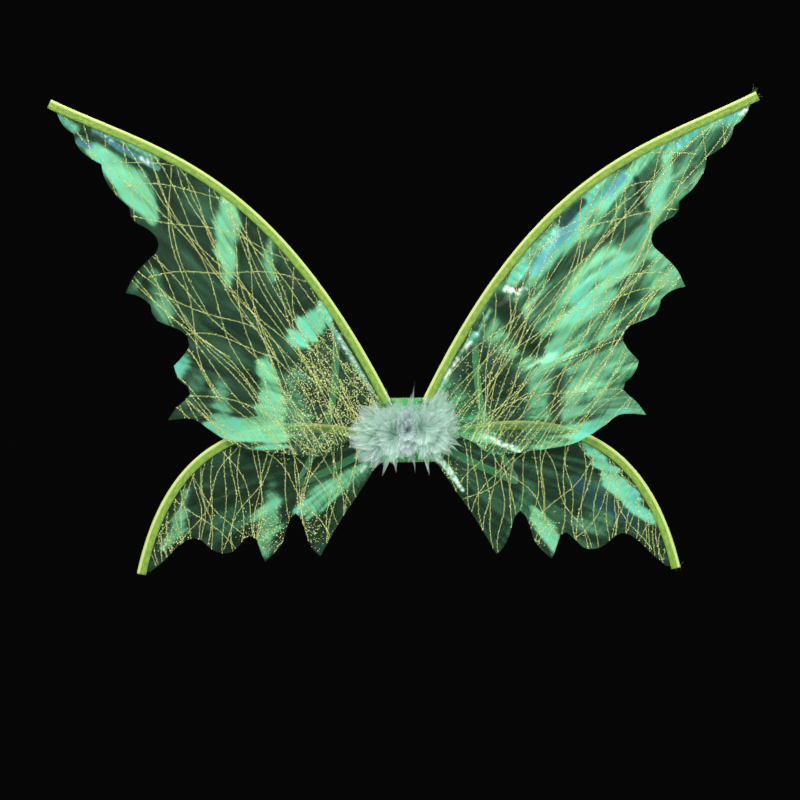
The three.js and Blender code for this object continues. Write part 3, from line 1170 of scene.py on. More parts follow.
    def grains(self, material: bpy.types.Material) -> bpy.types.Object:
        """Four-sided grains along the lines, near the root and in the film's patches."""
        draw = self.rng.uniform
        spots = []
        for line in self.lines:
            s = np.cumsum(draw(0.7, 1.3, len(line) * 2) * self.grain_gap)
            s = s[s < len(line) - 1]
            base = np.stack([np.interp(s, np.arange(len(line)), line[:, k]) for k in (0, 1)], 1)
            spots.append(base + self.rng.normal(0, 0.3, base.shape))
            extra = base[self.rng.random(len(base)) < 0.16]
            spots.append(extra + self.rng.normal(0, 0.8, extra.shape))
        spots.append(self._scatter())
        for t, z, reach, count in self.film.look.dust:
            spots.append(self._dust(np.array([t, z]), reach, count))
        where = np.vstack(spots)
        size = self.grain * draw(0.7, 1.45, len(where))
        turn = draw(0, 2 * math.pi, len(where))
        tip = self.rng.normal(0, 0.25, (len(where), 2)) * size[:, None]
        stand = self.film.stand(where[:, 0], where[:, 1]) + 0.1
        corners = []
        for k in range(3):
            angle = turn + k * 2 * math.pi / 3
            t = where[:, 0] + size * np.cos(angle) * 0.8
            z = where[:, 1] + size * np.sin(angle) * 0.8
            corners.append(self.film.plane.place(t, z, stand + draw(-0.05, 0.15, len(where))))
        top = where + tip
        peak = self.film.plane.place(top[:, 0], top[:, 1], stand + size * 0.45)
        verts = np.stack([*corners, peak], 1).reshape(-1, 3)
        shape = outward(verts[:4], [(0, 1, 2), (0, 3, 1), (1, 3, 2), (2, 3, 0)])
        faces = [tuple(4 * k + i for i in face) for k in range(len(where)) for face in shape]
        # How much painted sparkle each grain has.
        sparkle = np.repeat(self.rng.beta(0.9, 0.8, len(where)), 4)
        return self._piece("gold_grains", verts, faces, material, {"sparkle": sparkle})

    def _scatter(self) -> np.ndarray:
        """Loose grains near the root."""
        rng = self.rng
        reach = 22 + 118 * rng.random(self.scattered * 3) ** 0.8
        angle = np.radians(rng.uniform(-14, 58, self.scattered * 3))
        t, z = reach * np.cos(angle) - 8, reach * np.sin(angle) - 4
        where = np.stack([t, z], 1)
        clump = self.film.soft(t / 12 + 4, z / 12 + 8, 2)
        return where[self._on_film(where) & (clump > self.sparse)][: self.scattered]

    def _dust(self, middle: np.ndarray, reach: float, count: int) -> np.ndarray:
        """Loose grains round one place on the film, thickest in its middle."""
        where = middle + self.rng.normal(0, reach / 2, (count, 2))
        return where[self._on_film(where)]

    def _piece(self, kind: str, verts: np.ndarray, faces: list, material: bpy.types.Material,
               paints: dict[str, np.ndarray] | None = None) -> bpy.types.Object:
        """Makes one of the two pieces."""
        plane = self.film.plane
        piece = Piece(
            name=f"{kind}_{plane.label}",
            verts=verts,
            faces=faces,
            body=plane.side.body,
            slot=None,
            material=material,
            paints=paints or {},
            flat=True,
        )
        return piece.make()


@dataclass
class Binding:
    """Satin tape folded over the wire and the film's edge, with its two rows of stitches."""

    plane: WingPlane
    spar: Spar
    seed: int
    fold: float = 1.85
    leaf: float = 8.1
    lift: float = 0.62
    thick: float = 0.45
    step: float = 2.2
    round_steps: int = 8
    stitch_pitch: float = 3.4
    stitch_inset: float = 6.9

    def section(self, swell: float, reach: float, open_by: float) -> np.ndarray:
        """The folded tape's outline in (a, b) at one place along it."""
        outer = self.lift + self.thick
        turn = np.radians(np.linspace(62, 298, self.round_steps + 1))
        nose = np.stack([np.cos(turn), np.sin(turn)], 1)
        mid = (self.leaf + 2.4) / 2
        front = [(reach, outer + open_by), (mid, outer + swell), (2.4, outer + 0.25)]
        back = [(2.4, -outer - 0.25), (mid, -outer - swell * 0.6), (reach, -outer - open_by)]
        inner_back = [(reach, -self.lift - open_by), (mid, -self.lift - swell * 0.6), (2.4, -self.lift)]
        inner_front = [(2.4, self.lift), (mid, self.lift + swell), (reach, self.lift + open_by)]
        bore = nose[::-1] * (self.fold - self.thick)
        parts = [front, nose * self.fold, back, inner_back, bore, inner_front]
        return np.vstack([np.array(p, float) for p in parts])

    def make(self, material: bpy.types.Material) -> bpy.types.Object:
        """Builds the tape."""
        soft = Cloud(self.seed)
        count = round((self.spar.length - self.spar.start) / self.step)
        reach = np.linspace(self.spar.start, self.spar.length, count + 1)
        point, _, inward = self.spar.at(reach)
        rings, uvs = [], []
        for k, s in enumerate(reach):
            swell = (soft(s / 4.4, 0.5, 2) - 0.4) * 0.5
            edge = self.leaf + (soft(s / 9.0, 8.5, 2) - 0.5) * 0.9
            section = self.section(float(swell), float(edge), float(soft(s / 6.0, 20.5) * 0.2))
            t = point[k, 0] + inward[k, 0] * section[:, 0]
            z = point[k, 1] + inward[k, 1] * section[:, 0]
            rings.append(self.plane.place(t, z, section[:, 1]))
            uvs.append(np.stack([np.full(len(section), s), section[:, 0] + self.fold], 1) * MM)
        verts = np.concatenate(rings)
        size = len(rings[0])
        faces = ring_faces(len(rings), size) + leaf_ends(len(rings), size)
        piece = Piece(
            name=f"binding_{self.plane.label}",
            verts=verts,
            faces=outward(verts, faces),
            body=self.plane.side.body,
            slot="binding_satin",
            material=material,
            replaces=[self.plane.node("binding")],
            uv=np.concatenate(uvs),
        )
        tape = piece.make()
        width = 2 * (self.leaf + math.pi / 2 * self.fold) * MM
        (self.spar.length - self.spar.start) * MM
        return tape

    def stitches(self, material: bpy.types.Material) -> bpy.types.Object:
        """The thread that shows on both faces of the tape."""
        rng = np.random.default_rng(self.seed + 5)
        parts = []
        for face in (1, -1):
            for s in np.arange(self.spar.start + 2, self.spar.length - 2, self.stitch_pitch):
                half = self.stitch_pitch * 0.36
                ends = s + np.array([-half, -half * 0.8, 0, half * 0.8, half])
                point, _, inward = self.spar.at(ends)
                inset = self.stitch_inset + rng.uniform(-0.2, 0.2)
                lift = (self.lift + self.thick) + np.array([-0.15, 0.05, 0.15, 0.05, -0.15])
                where = point + inward * inset
                line = self.plane.place(where[:, 0], where[:, 1], face * lift)
                parts.append(tube(line, np.array([0.1, 0.19, 0.2, 0.19, 0.1]), 5))
        verts, faces = joined(parts)
        piece = Piece(
            name=f"stitches_{self.plane.label}",
            verts=verts,
            faces=faces,
            body=self.plane.side.body,
            slot="thread",
            material=material,
        )
        return piece.make()


@dataclass
class FrayedEnd:
    """Loose threads at the cut end of one tape."""

    plane: WingPlane
    spar: Spar
    seed: int
    count: int
    width: float = 8.0
    longest: float = 8.0
    radius: float = 0.13

    def make(self, material: bpy.types.Material) -> bpy.types.Object:
        """Builds the threads, each curling its own way."""
        rng = np.random.default_rng(self.seed)
        parts = []
        for _ in range(self.count):
            point, tangent, inward = self.spar.at(self.spar.length - rng.uniform(0.3, 6.0))
            outside = rng.random() < 0.7
            start = point - inward * (1.4 if outside else -rng.uniform(1, self.width - 1))
            lean = rng.uniform(0.1, 1.0)
            heading = (-inward if outside else tangent) * (1.2 - lean) + tangent * lean
            bow = inward * rng.uniform(-0.7, 0.7) + tangent * rng.uniform(-0.7, 0.5)
            reach = np.linspace(0, 1, 7)[:, None] * rng.uniform(0.4, 1.0) * self.longest
            line = start + heading / np.linalg.norm(heading) * reach + bow * reach**2 / self.longest
            stand = rng.uniform(-0.7, 0.7) + reach[:, 0] * rng.uniform(-0.35, 0.35)
            where = self.plane.place(line[:, 0], line[:, 1], stand)
            parts.append(tube(where, np.linspace(self.radius, self.radius * 0.5, 7), 5))
        verts, faces = joined(parts)
        piece = Piece(
            name=f"loose_threads_{self.plane.label}",
            verts=verts,
            faces=faces,
            body=self.plane.side.body,
            slot="thread",
            material=material,
        )
        return piece.make()


# ---------------------------------------------------------------- arm loops


@dataclass
class ArmLoop:
    """One elastic arm loop, sewn to the back piece at both ends."""

    side: Side
    width: float = 8.0
    thick: float = 1.0
    step: float = 1.6
    route: tuple = (
        ((14, -5.8, 13), (0, -1, 0)),
        ((19, -5.8, 24), (0, -1, 0)),
        ((25, -5.8, 36), (0, -1, 0)),
        ((34, -3.5, 54), (0, -1, 0.1)),
        ((44, 4, 74), (0, -0.9, 0.4)),
        ((55, 20, 94), (0, -0.65, 0.75)),
        ((67, 44, 107), (0, -0.2, 1)),
        ((76, 72, 107), (0, 0.3, 0.95)),
        ((80, 98, 92), (0, 0.75, 0.65)),
        ((82, 114, 62), (0, 0.95, 0.3)),
        ((87, 120, 26), (0.1, 1, 0)),
        ((98, 116, -10), (0.4, 0.9, -0.1)),
        ((112, 102, -36), (0.75, 0.65, -0.1)),
        ((121, 80, -52), (0.95, 0.3, 0)),
        ((124, 54, -58), (1, -0.05, 0)),
        ((118, 30, -57.5), (0.85, -0.5, 0)),
        ((104, 12, -51.5), (0.55, -0.85, 0)),
        ((84, 0, -42.5), (0.25, -0.97, 0)),
        ((64, -4.8, -32.5), (0.05, -1, 0)),
        ((47, -5.8, -24), (0, -1, 0)),
        ((31, -5.8, -16), (0, -1, 0)),
        ((16, -5.8, -8.5), (0, -1, 0)),
    )

    def make(self, material: bpy.types.Material) -> bpy.types.Object:
        """Builds the loop as a flat band with rounded, slightly wavy edges."""
        mirror = np.array([self.side.value, 1, 1])
        both = np.array([np.concatenate([p, n]) for p, n in self.route], float)
        fine = catmull(both, 1.0)
        centre, normal = fine[:, :3] * mirror, fine[:, 3:] * mirror
        reach = np.concatenate([[0], np.cumsum(np.linalg.norm(np.diff(centre, axis=0), axis=1))])
        even = np.linspace(0, reach[-1], round(reach[-1] / self.step))
        centre = np.stack([np.interp(even, reach, centre[:, k]) for k in range(3)], 1)
        normal = np.stack([np.interp(even, reach, normal[:, k]) for k in range(3)], 1)
        tangent = np.gradient(centre, axis=0)
        tangent /= np.linalg.norm(tangent, axis=1)[:, None]
        normal -= tangent * (normal * tangent).sum(1)[:, None]
        normal /= np.linalg.norm(normal, axis=1)[:, None]
        across = np.cross(tangent, normal)
        half, deep = self.width / 2, self.thick / 2
        ribs = np.linspace(-half + 0.3, half - 0.3, 19)
        ridge = deep - 0.06 + 0.06 * np.cos(np.arange(19) * math.pi)
        top = np.stack([ribs, ridge], 1)
        edge = np.array([[half, deep * 0.55], [half, -deep * 0.55]])
        section = np.vstack([top, edge, top[::-1] * [1, -1], -edge])
        rings = [
            c + section[:, :1] * a + section[:, 1:] * n
            for c, a, n in zip(centre, across, normal)
        ]
        size = len(section)
        last = (len(rings) - 1) * size
        faces = ring_faces(len(rings), size)
        faces += [tuple(reversed(range(size))), tuple(range(last, last + size))]
        verts = np.concatenate(rings)
        uv = np.array([(s, p[0]) for s in even for p in section]) * MM
        LOG.info("arm loop %s: %.0f mm long", self.side.label, reach[-1])
        piece = Piece(
            name=f"arm_elastic_{self.side.label}",
            verts=verts,
            faces=outward(verts, faces),
            body=BACK_PIECE,
            slot="elastic",
            material=material,
            replaces=[f"arm_strap_{self.side.label}"],
            uv=uv,
        )
        return piece.make()


# ---------------------------------------------------------------- back piece


def rounded(width: float, height: float, corner: float, step: float = 2.0) -> np.ndarray:
    """A rectangle with round corners, counter-clockwise in (x, z)."""
    right, top = width / 2 - corner, height / 2 - corner
    count = max(3, round(corner * math.pi / 2 / step))
    points = []
    for k, (x, z) in enumerate(((right, top), (-right, top), (-right, -top), (right, -top))):
        angle = np.radians(90 * k + np.linspace(0, 90, count + 1))
        points.append(np.stack([x + corner * np.cos(angle), z + corner * np.sin(angle)], 1))
    loop = np.vstack(points)
    out = []
    for a, b in zip(loop, np.roll(loop, -1, 0)):
        n = max(1, round(float(np.hypot(*(b - a))) / step))
        out += [a + (b - a) * k / n for k in range(n)]
    return np.array(out)


@dataclass
class SewnPlate:
    """A soft plate with a rounded rim, worked out from its outline."""

    width: float
    height: float
    corner: float
    front: float
    rear: float
    rim: float
    pitch: float = 1.9

    def shell(self, relief: Any, seed: int) -> tuple[np.ndarray, list, np.ndarray]:
        """Builds the plate.

        Args:
            relief: a function of x, z and the distance to the rim that gives how far the
                front and the rear face stand proud.
            seed: for the mesh.

        Returns:
            The points, the faces and each point's UV in metres.
        """
        loop = rounded(self.width, self.height, self.corner)
        flat, tris = triangulate(loop, self.pitch, seed)
        x, z = flat[:, 0], flat[:, 1]
        deep = distance_to(rounded(self.width, self.height, self.corner, 0.5), x, z)
        deep[: len(loop)] = 0
        middle, half = (self.front + self.rear) / 2, (self.rear - self.front) / 2
        swell = half * np.sqrt(np.clip(1 - (1 - np.clip(deep / self.rim, 0, 1)) ** 2, 0, 1))
        proud_front, proud_rear = relief(x, z, deep)
        fade = smooth(0, self.rim, deep)
        front = np.stack([x, middle - swell - proud_front * fade, z], 1)
        rear = np.stack([x, middle + swell + proud_rear * fade, z], 1)
        count, rim = len(flat), len(loop)
        index = np.concatenate([np.arange(rim), count + np.arange(count - rim)])
        faces = [tuple(f) for f in tris]
        faces += [tuple(int(index[i]) for i in reversed(f)) for f in tris]
        verts = np.vstack([front, rear[rim:]])
        uv = np.vstack([flat, flat[rim:]]) * MM
        return verts, outward(verts, faces), uv


@dataclass
class BackPiece:
    """Pad, board, cover, wire channels and their sewing."""

    cover: SewnPlate = field(default_factory=lambda: SewnPlate(84, 70, 13, -10.2, -8.4, 1.2))
    pad: SewnPlate = field(default_factory=lambda: SewnPlate(62, 58, 12, -5, 0, 4.5))
    board_size: tuple[float, float, float] = (80, 1.5, 66)
    board_y: float = -7.35
    board_corner: float = 10.0
    board_bevel: float = 0.45
    stitch_gap: float = 4.2
    channel_z: tuple[float, float] = (-1.5, 17.5)
    channel_hem: float = 5.5
    channel_round: float = 2.35
    channel_bore: float = 1.75
    stitch_radius: float = 0.22

    def make_cover(self, material: bpy.types.Material) -> bpy.types.Object:
        """The satin cover: a hem round its rim, slack wrinkles inside it."""
        cloud = Cloud(71)

        def relief(x: np.ndarray, z: np.ndarray, deep: np.ndarray) -> tuple[np.ndarray, Any]:
            """Hem, gathers and wrinkles on the front face only."""
            hem = 0.35 * (1 - smooth(4.2, 5.4, deep))
            gathers = (cloud(x / 3.2, z / 3.2, 2) - 0.5) * 0.5 * (1 - smooth(5, 16, deep))
            slack = (cloud(x / 11 + 3, z / 26 + 5, 2) - 0.5) * 0.8 * smooth(4, 10, deep)
            return np.clip(hem + gathers + slack, -0.15, 0.9) - 0.35, 0.0

        verts, faces, uv = self.cover.shell(relief, 3)
        stands_for = ["cover_panel"]
        cover = Piece(
            "satin_cover", verts, faces, BACK_PIECE, "cover_satin", material, stands_for, uv
        ).make()
        size = (self.cover.width * MM, self.cover.height * MM)
        return cover

    def make_pad(self, material: bpy.types.Material) -> bpy.types.Object:
        """The padded lining: crowned, with a sewn cross and a sunk border seam."""
        cloud = Cloud(72)

        def relief(x: np.ndarray, z: np.ndarray, deep: np.ndarray) -> tuple[np.ndarray, np.ndarray]:
            """Seams press in the face that rests on the wearer; cloth between them crowns."""
            cross = np.minimum(np.abs(x), np.abs(z))
            seam = np.exp(-((cross / 1.6) ** 2)) * 1.5 + np.exp(-(((deep - 6.5) / 1.2) ** 2)) * 1.2
            crown = 0.9 * smooth(2, 14, deep) + (cloud(x / 7, z / 7, 2) - 0.5) * 0.5
            return np.zeros_like(x), crown - seam - 0.8

        verts, faces, uv = self.pad.shell(relief, 4)
        stands_for = ["back_pad"]
        pad = Piece(
            "quilted_pad", verts, faces, BACK_PIECE, "pad_fabric", material, stands_for, uv
        ).make()
        return pad

    def make_board(self, material: bpy.types.Material) -> bpy.types.Object:
        """The stiff plate between pad and cover."""
        bpy.ops.object.select_all(action="DESELECT")
        bpy.ops.mesh.primitive_cube_add(size=1, location=(0, self.board_y * MM, 0))
        board = bpy.context.object
        board.name = "board_plate"
        board.scale = [v * MM for v in self.board_size]
        bpy.ops.object.transform_apply(location=True, rotation=True, scale=True)
        self._bevel(board, self.board_corner, 8, lambda a, b: abs(a.y - b.y) > MM)
        self._bevel(board, self.board_bevel, 2, lambda a, b: abs(a.y - b.y) < MM / 10)
        board.data.materials.append(material)
        return adopt(board, BACK_PIECE, "base_board", ["base_board"])

    def _bevel(self, obj: bpy.types.Object, width: float, segments: int, chosen: Any) -> None:
        """Bevels the edges whose two ends pass the test."""
        bpy.ops.object.mode_set(mode="EDIT")
        bpy.ops.mesh.select_mode(type="EDGE")
        bpy.ops.mesh.select_all(action="DESELECT")
        shell = bmesh.from_edit_mesh(obj.data)
        for edge in shell.edges:
            edge.select_set(chosen(edge.verts[0].co, edge.verts[1].co))
        bmesh.update_edit_mesh(obj.data)
        bpy.ops.mesh.bevel(offset=width * MM, segments=segments, affect="EDGES")
        bpy.ops.object.mode_set(mode="OBJECT")

    def make_channel(self, side: Side, material: bpy.types.Material) -> bpy.types.Object:
        """A strip of satin folded over the wire's leg and sewn down on both sides."""
        cloud = Cloud(80 + side.value)
        low, high = self.channel_z
        levels = np.linspace(low, high, 24)
        base = self.cover.front - 0.35 - PIVOT_Y
        rings, uvs = [], []
        for z in levels:
            pull = (cloud(z / 3.0, 0.5, 2) - 0.5) * 0.5
            turn = np.radians(np.linspace(0, -180, 11))
            dome = np.stack([np.cos(turn), np.sin(turn)], 1)
            hem = self.channel_hem + pull
            section = np.vstack([
                [(hem, base), (3.6, base - 0.9)],
                dome * (self.channel_round + pull * 0.2),
                [(-3.6, base - 0.9), (-hem, base)],
                [(0.2 - hem, base + 0.3), (-2.4, base + 0.25)],
                dome[::-1] * self.channel_bore,
                [(2.4, base + 0.25), (hem - 0.2, base + 0.3)],
            ])
            x = side.value * PIVOT_X + section[:, 0]
            rings.append(np.stack([x, PIVOT_Y + section[:, 1], np.full(len(x), z)], 1))
            uvs.append(np.stack([np.full(len(x), z), section[:, 0]], 1) * MM)
        verts = np.concatenate(rings)
        size = len(rings[0])
        faces = ring_faces(len(rings), size) + leaf_ends(len(rings), size)
        return Piece(
            name=f"wire_channel_{side.label}",
            verts=verts,
            faces=outward(verts, faces),
            body=BACK_PIECE,
            slot="cover_satin",
            material=material,
            replaces=[f"root_channel_{side.label}"],
            uv=np.concatenate(uvs),
        ).make()

    def make_stitches(self, material: bpy.types.Material) -> bpy.types.Object:
        """Whip stitches round the cover's rim and down both sides of each channel."""
        rng = np.random.default_rng(74)
        parts = []
        loop = rounded(self.cover.width, self.cover.height, self.cover.corner, self.stitch_gap)
        for k, point in enumerate(loop):
            ahead = loop[(k + 1) % len(loop)] - point
            out = np.array([ahead[1], -ahead[0]]) / np.hypot(*ahead)
            lean = ahead * rng.uniform(0.1, 0.3)
            inner = point - out * rng.uniform(2.4, 3.0) + lean
            path = [
                (*inner, self.cover.front),
                (*(inner + out * 0.8), self.cover.front - 0.55),
                (*(point + out * 0.15), self.cover.front - 0.1),
                (*(point + out * 0.35), self.cover.front + 1.0),
                (*(point - out * 0.4), self.cover.rear + 0.1),
            ]
            parts.append(strand(np.array([(x, y, z) for x, z, y in path]), 0.9, self.stitch_radius))
        for side in Side:
            for edge in (-4.6, 4.6):
                for z in np.arange(self.channel_z[0] + 1.5, self.channel_z[1] - 1, 2.8):
                    x = side.value * PIVOT_X + edge
                    sunk, proud = self.cover.front - 0.5, self.cover.front - 1.15
                    path = ((x, sunk, z), (x, proud, z + 0.5), (x, proud, z + 1.3), (x, sunk, z + 1.8))
                    parts.append(tube(np.array(path), np.full(len(path), 0.2), 6))
        verts, faces = joined(parts)
        return Piece("cover_stitches", verts, faces, BACK_PIECE, "thread", material).make()


# ---------------------------------------------------------------- tulle flower


@dataclass
class Cluster:
    """One gathered bunch of tulle: where it is tied, and where its outer points end.

    Each of the tips is (x, z, half width) in millimetres, and room is how far to each
    side the bunch may reach.
    """

    name: str
    centre: tuple[float, float]
    tie: tuple[float, float]
    tips: tuple[tuple[float, float, float], ...]
    fan: tuple[float, float]
    inner: tuple[tuple[int, float, float], ...]
    pale: float
    flat: tuple[float, float]
    room: float = 160.0


@dataclass
class TulleFlower:
    """Three bunches of pleated tulle points, tied to the cover."""

    gather_y: float = -15.8
    front_y: float = -56.0
    along: int = 13
    across: int = 15
    outer_lift: float = 17.0
    slim: float = 6.5
    neck: float = 0.12
    spread: float = 900.0
    clusters: tuple[Cluster, ...] = (
        Cluster(
            "left", (-15, -5), (-5, -9),
            ((-73, -3, 14), (-70, -15, 11), (-62, -32, 14), (-66, 11, 13), (-58, 27, 14),
             (-41, 40, 6), (-22, 48, 3.5), (-42, -42, 9), (-28, -51, 6), (-12, -47, 6),
             (-32, 20, 9), (-30, -22, 9), (-8, 24, 6)),
            (70, 290), ((9, 33, 43), (7, 52, 33)), 0.05, (0.1, 0.17),
        ),
        Cluster(
            "right", (17, 1), (5, 9),
            ((64, 4, 12), (61, 17, 13), (57, 30, 13), (46, 44, 12), (33, 40, 6),
             (67, -20, 5), (60, -25, 5), (51, -29, 8), (63, -8, 10), (34, -37, 10),
             (34, 24, 9), (32, -18, 9), (19, 37, 6), (24, -50, 5)),
            (-100, 110), ((9, 33, 43), (7, 52, 33)), 0.05, (0.1, 0.17),
        ),
        Cluster(
            "middle", (1, 0), (0, 0),
            ((11, 52, 5), (4, 34, 6), (-6, 30, 7), (11, -47, 5), (3, -36, 7), (-8, -33, 6)),
            (0, 360), ((9, 44, 35), (8, 62, 28)), 0.55, (0.1, 0.1), 12.0,
        ),
    )

    def axes(self, angle: float, lift: float, twist: float) -> tuple[np.ndarray, ...]:
        """The directions along, across and off a point, from degrees and a twist in radians."""
        turn, rise = math.radians(angle), math.radians(lift)
        flat = math.cos(rise)
        ahead = np.array([math.cos(turn) * flat, -math.sin(rise), math.sin(turn) * flat])
        side = np.array([-math.sin(turn), 0, math.cos(turn)])
        normal = np.cross(ahead, side)
        c, s = math.cos(twist), math.sin(twist)
        return ahead, side * c + normal * s, normal * c - side * s

    def width(self, rng: np.random.Generator, u: np.ndarray, widest: float) -> np.ndarray:
        """A point's half width at each share u of its length, narrow at the gather."""
        slim = widest < self.slim
        full = 0.42 if slim else rng.uniform(0.68, 0.82)
        last = 0.12 if slim else rng.uniform(0.5, 0.72)
        swell = np.sin(math.pi / 2 * np.clip(u / full, 0, 1)) ** 1.15
        close = 1 - (1 - last) * (np.clip(u - full, 0, 1) / (1 - full)) ** 1.6
        return widest * (self.neck + (1 - self.neck) * swell) * close

    def folds(
        self, rng: np.random.Generator, u: np.ndarray, v: np.ndarray
    ) -> tuple[np.ndarray, np.ndarray]:
        """How high the pleats stand, and the share by which the ragged end is cut back."""
        count, phase = rng.uniform(2.2, 3.6), rng.uniform(0, 6.3)
        height = np.sin(v * count * math.pi + phase + u * 0.8) * (0.3 + 1.15 * u)
        height = height + rng.uniform(-2.2, 3.2) * (v * v - 0.3) * u
        ragged = 0.1 * np.abs(np.sin(v * rng.uniform(3.0, 4.4) + phase))
        return height, ragged + 0.16 * np.abs(v) ** 2.2

    def point(
        self,
        rng: np.random.Generator,
        cluster: Cluster,
        angle: float,
        lift: float,
        length: float,
        widest: float,
    ) -> tuple[np.ndarray, list, np.ndarray, dict[str, np.ndarray]]:
        """One pleated point of tulle.

        Args:
            rng: the cluster's random numbers.
            cluster: the bunch that it belongs to.
            angle: its direction round the bunch, in degrees.
            lift: how far it stands forward, in degrees.
            length: from the gather to its tip.
            widest: its half width at its widest place.

        Returns:
            Points, faces, UVs and paints.
        """
        u = np.linspace(0, 1, self.along)[:, None]
        v = np.linspace(-1, 1, self.across)[None, :]
        ahead, side, normal = self.axes(angle, lift, rng.normal(0, 0.3))
        width = self.width(rng, u, widest)
        height, cut_back = self.folds(rng, u, v)
        run = length * u * (1 - cut_back * u)
        bow = u * (1 - u) * length
        sag, sway = rng.uniform(-0.12, 0.06) * bow, rng.uniform(-0.08, 0.08) * bow
        place = (
            run[..., None] * ahead
            + (v * width + sway)[..., None] * side
            + (height + sag)[..., None] * normal
        )
        origin = np.array([cluster.centre[0], self.gather_y, cluster.centre[1]])
        tie = np.array([cluster.tie[0], self.gather_y, cluster.tie[1]])
        start = origin + (tie - origin) * np.clip(1 - u * 3, 0, 1)[..., None] * 0.35
        verts = (place + start).reshape(-1, 3)
        verts[:, 0] = np.tanh(verts[:, 0] / cluster.room) * cluster.room
        verts[:, 1] = np.minimum(verts[:, 1], self.behind(verts[:, 0]))
        verts[:, 1] = np.maximum(verts[:, 1], self.front_y)
        faces = ring_faces(self.along, self.across, closed=False)
        uv = np.stack([run + rng.uniform(0, self.spread), v * width + rng.uniform(0, self.spread)], -1)
        heart = cluster.pale * rng.uniform(0.5, 1.2) + rng.uniform(-0.1, 0.2)
        even = np.ones_like(u * v)
        # hem places the painted highlights, and depth the painted shade near the gather.
        paints = {
            "hem": np.clip(np.maximum(np.abs(v) ** 4 * u, u**5), 0, 1),
            "depth": np.clip(u * 1.1 * even + lift / 150, 0, 1),
            "pale": np.clip(heart * even, 0, 0.85),
            "tip": u * even,
        }
        flat = {key: value.ravel() for key, value in paints.items()}
        return verts, faces, uv.reshape(-1, 2) * MM, flat

    def behind(self, x: np.ndarray) -> np.ndarray:
        """The hindmost place of the tulle, clear of the wings behind it."""
        return -15.6 - np.clip(np.abs(x) - 12, 0, None) * 0.19 - smooth(8, 20, np.abs(x)) * 3.4

    def lay_out(
        self, rng: np.random.Generator, cluster: Cluster
    ) -> list[tuple[float, float, float, float]]:
        """The angle, lift, length and half width of every point of one bunch."""
        laid = []
        for x, z, widest in cluster.tips:
            dx, dz = x - cluster.centre[0], z - cluster.centre[1]
            lift = self.outer_lift + rng.uniform(-4, 5)
            length = math.hypot(dx, dz) / math.cos(math.radians(lift))
            laid.append((math.degrees(math.atan2(dz, dx)), lift, length, widest))
        low, high = cluster.fan
        for count, lift, length in cluster.inner:
            angles = np.linspace(low, high, count, endpoint=high - low < 360)
            for angle in angles + rng.uniform(-10, 10, count):
                scale = rng.uniform(0.85, 1.12)
                laid.append((angle, lift + rng.uniform(-8, 8), length * scale, rng.uniform(6, 14)))
        return laid

    def make(self, cluster: Cluster, seed: int, material: bpy.types.Material) -> bpy.types.Object:
        """Builds one bunch."""
        rng = np.random.default_rng(seed)
        parts, uvs, paints = [], [], []
        for angle, lift, length, widest in self.lay_out(rng, cluster):
            verts, faces, uv, paint = self.point(rng, cluster, angle, lift, length, widest)
            parts.append((verts, faces))
            uvs.append(uv)
            paints.append(paint)
        verts, faces = joined(parts)
        merged = {key: np.concatenate([paint[key] for paint in paints]) for key in paints[0]}
        piece = Piece(
            name=f"tulle_bunch_{cluster.name}",
            verts=verts,
            faces=faces,
            body=BACK_PIECE,
            slot="tulle",
            material=material,
            replaces=[f"tulle_puff_{cluster.name}"],
            uv=np.concatenate(uvs),
            paints=merged,
        )
        bunch = piece.make()
        cloth = sum(face.area for face in bunch.data.polygons)
        LOG.info("tulle bunch %s: %.4f square metres of cloth", cluster.name, cloth)
        if cluster.name != "middle":
            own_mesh(bunch)
        return bunch

    def make_tie(self, cluster: Cluster, seed: int, material: bpy.types.Material) -> bpy.types.Object:
        """Thread wound round the gather, with a knot and two ends."""
        rng = np.random.default_rng(seed)
        s = np.linspace(0, 1, 90)
        radius = 1.7 + 0.25 * np.sin(s * 23)
        line = np.stack([cluster.tie[0] + radius * np.cos(s * 26), -10.9 - 3.4 * s,
                         cluster.tie[1] + radius * np.sin(s * 26)], 1)
        parts = [tube(line, np.full(90, 0.3), 7)]
        for _ in range(2):
            away = rng.normal(0, 1, 2)
            away /= np.hypot(*away)
            reach = np.arange(0, 8, 2)[:, None]
            drop = np.hstack([away[0] * reach, -0.3 * reach, away[1] * reach - 0.05 * reach**2])
            parts.append(strand(line[-1] + drop, 0.8, 0.22))
        verts, faces = joined(parts)
        stands_for = [f"puff_tie_{cluster.name}"]
        return Piece(
            f"thread_tie_{cluster.name}", verts, faces, BACK_PIECE, "thread", material, stands_for
        ).make()


# ---------------------------------------------------------------- studio


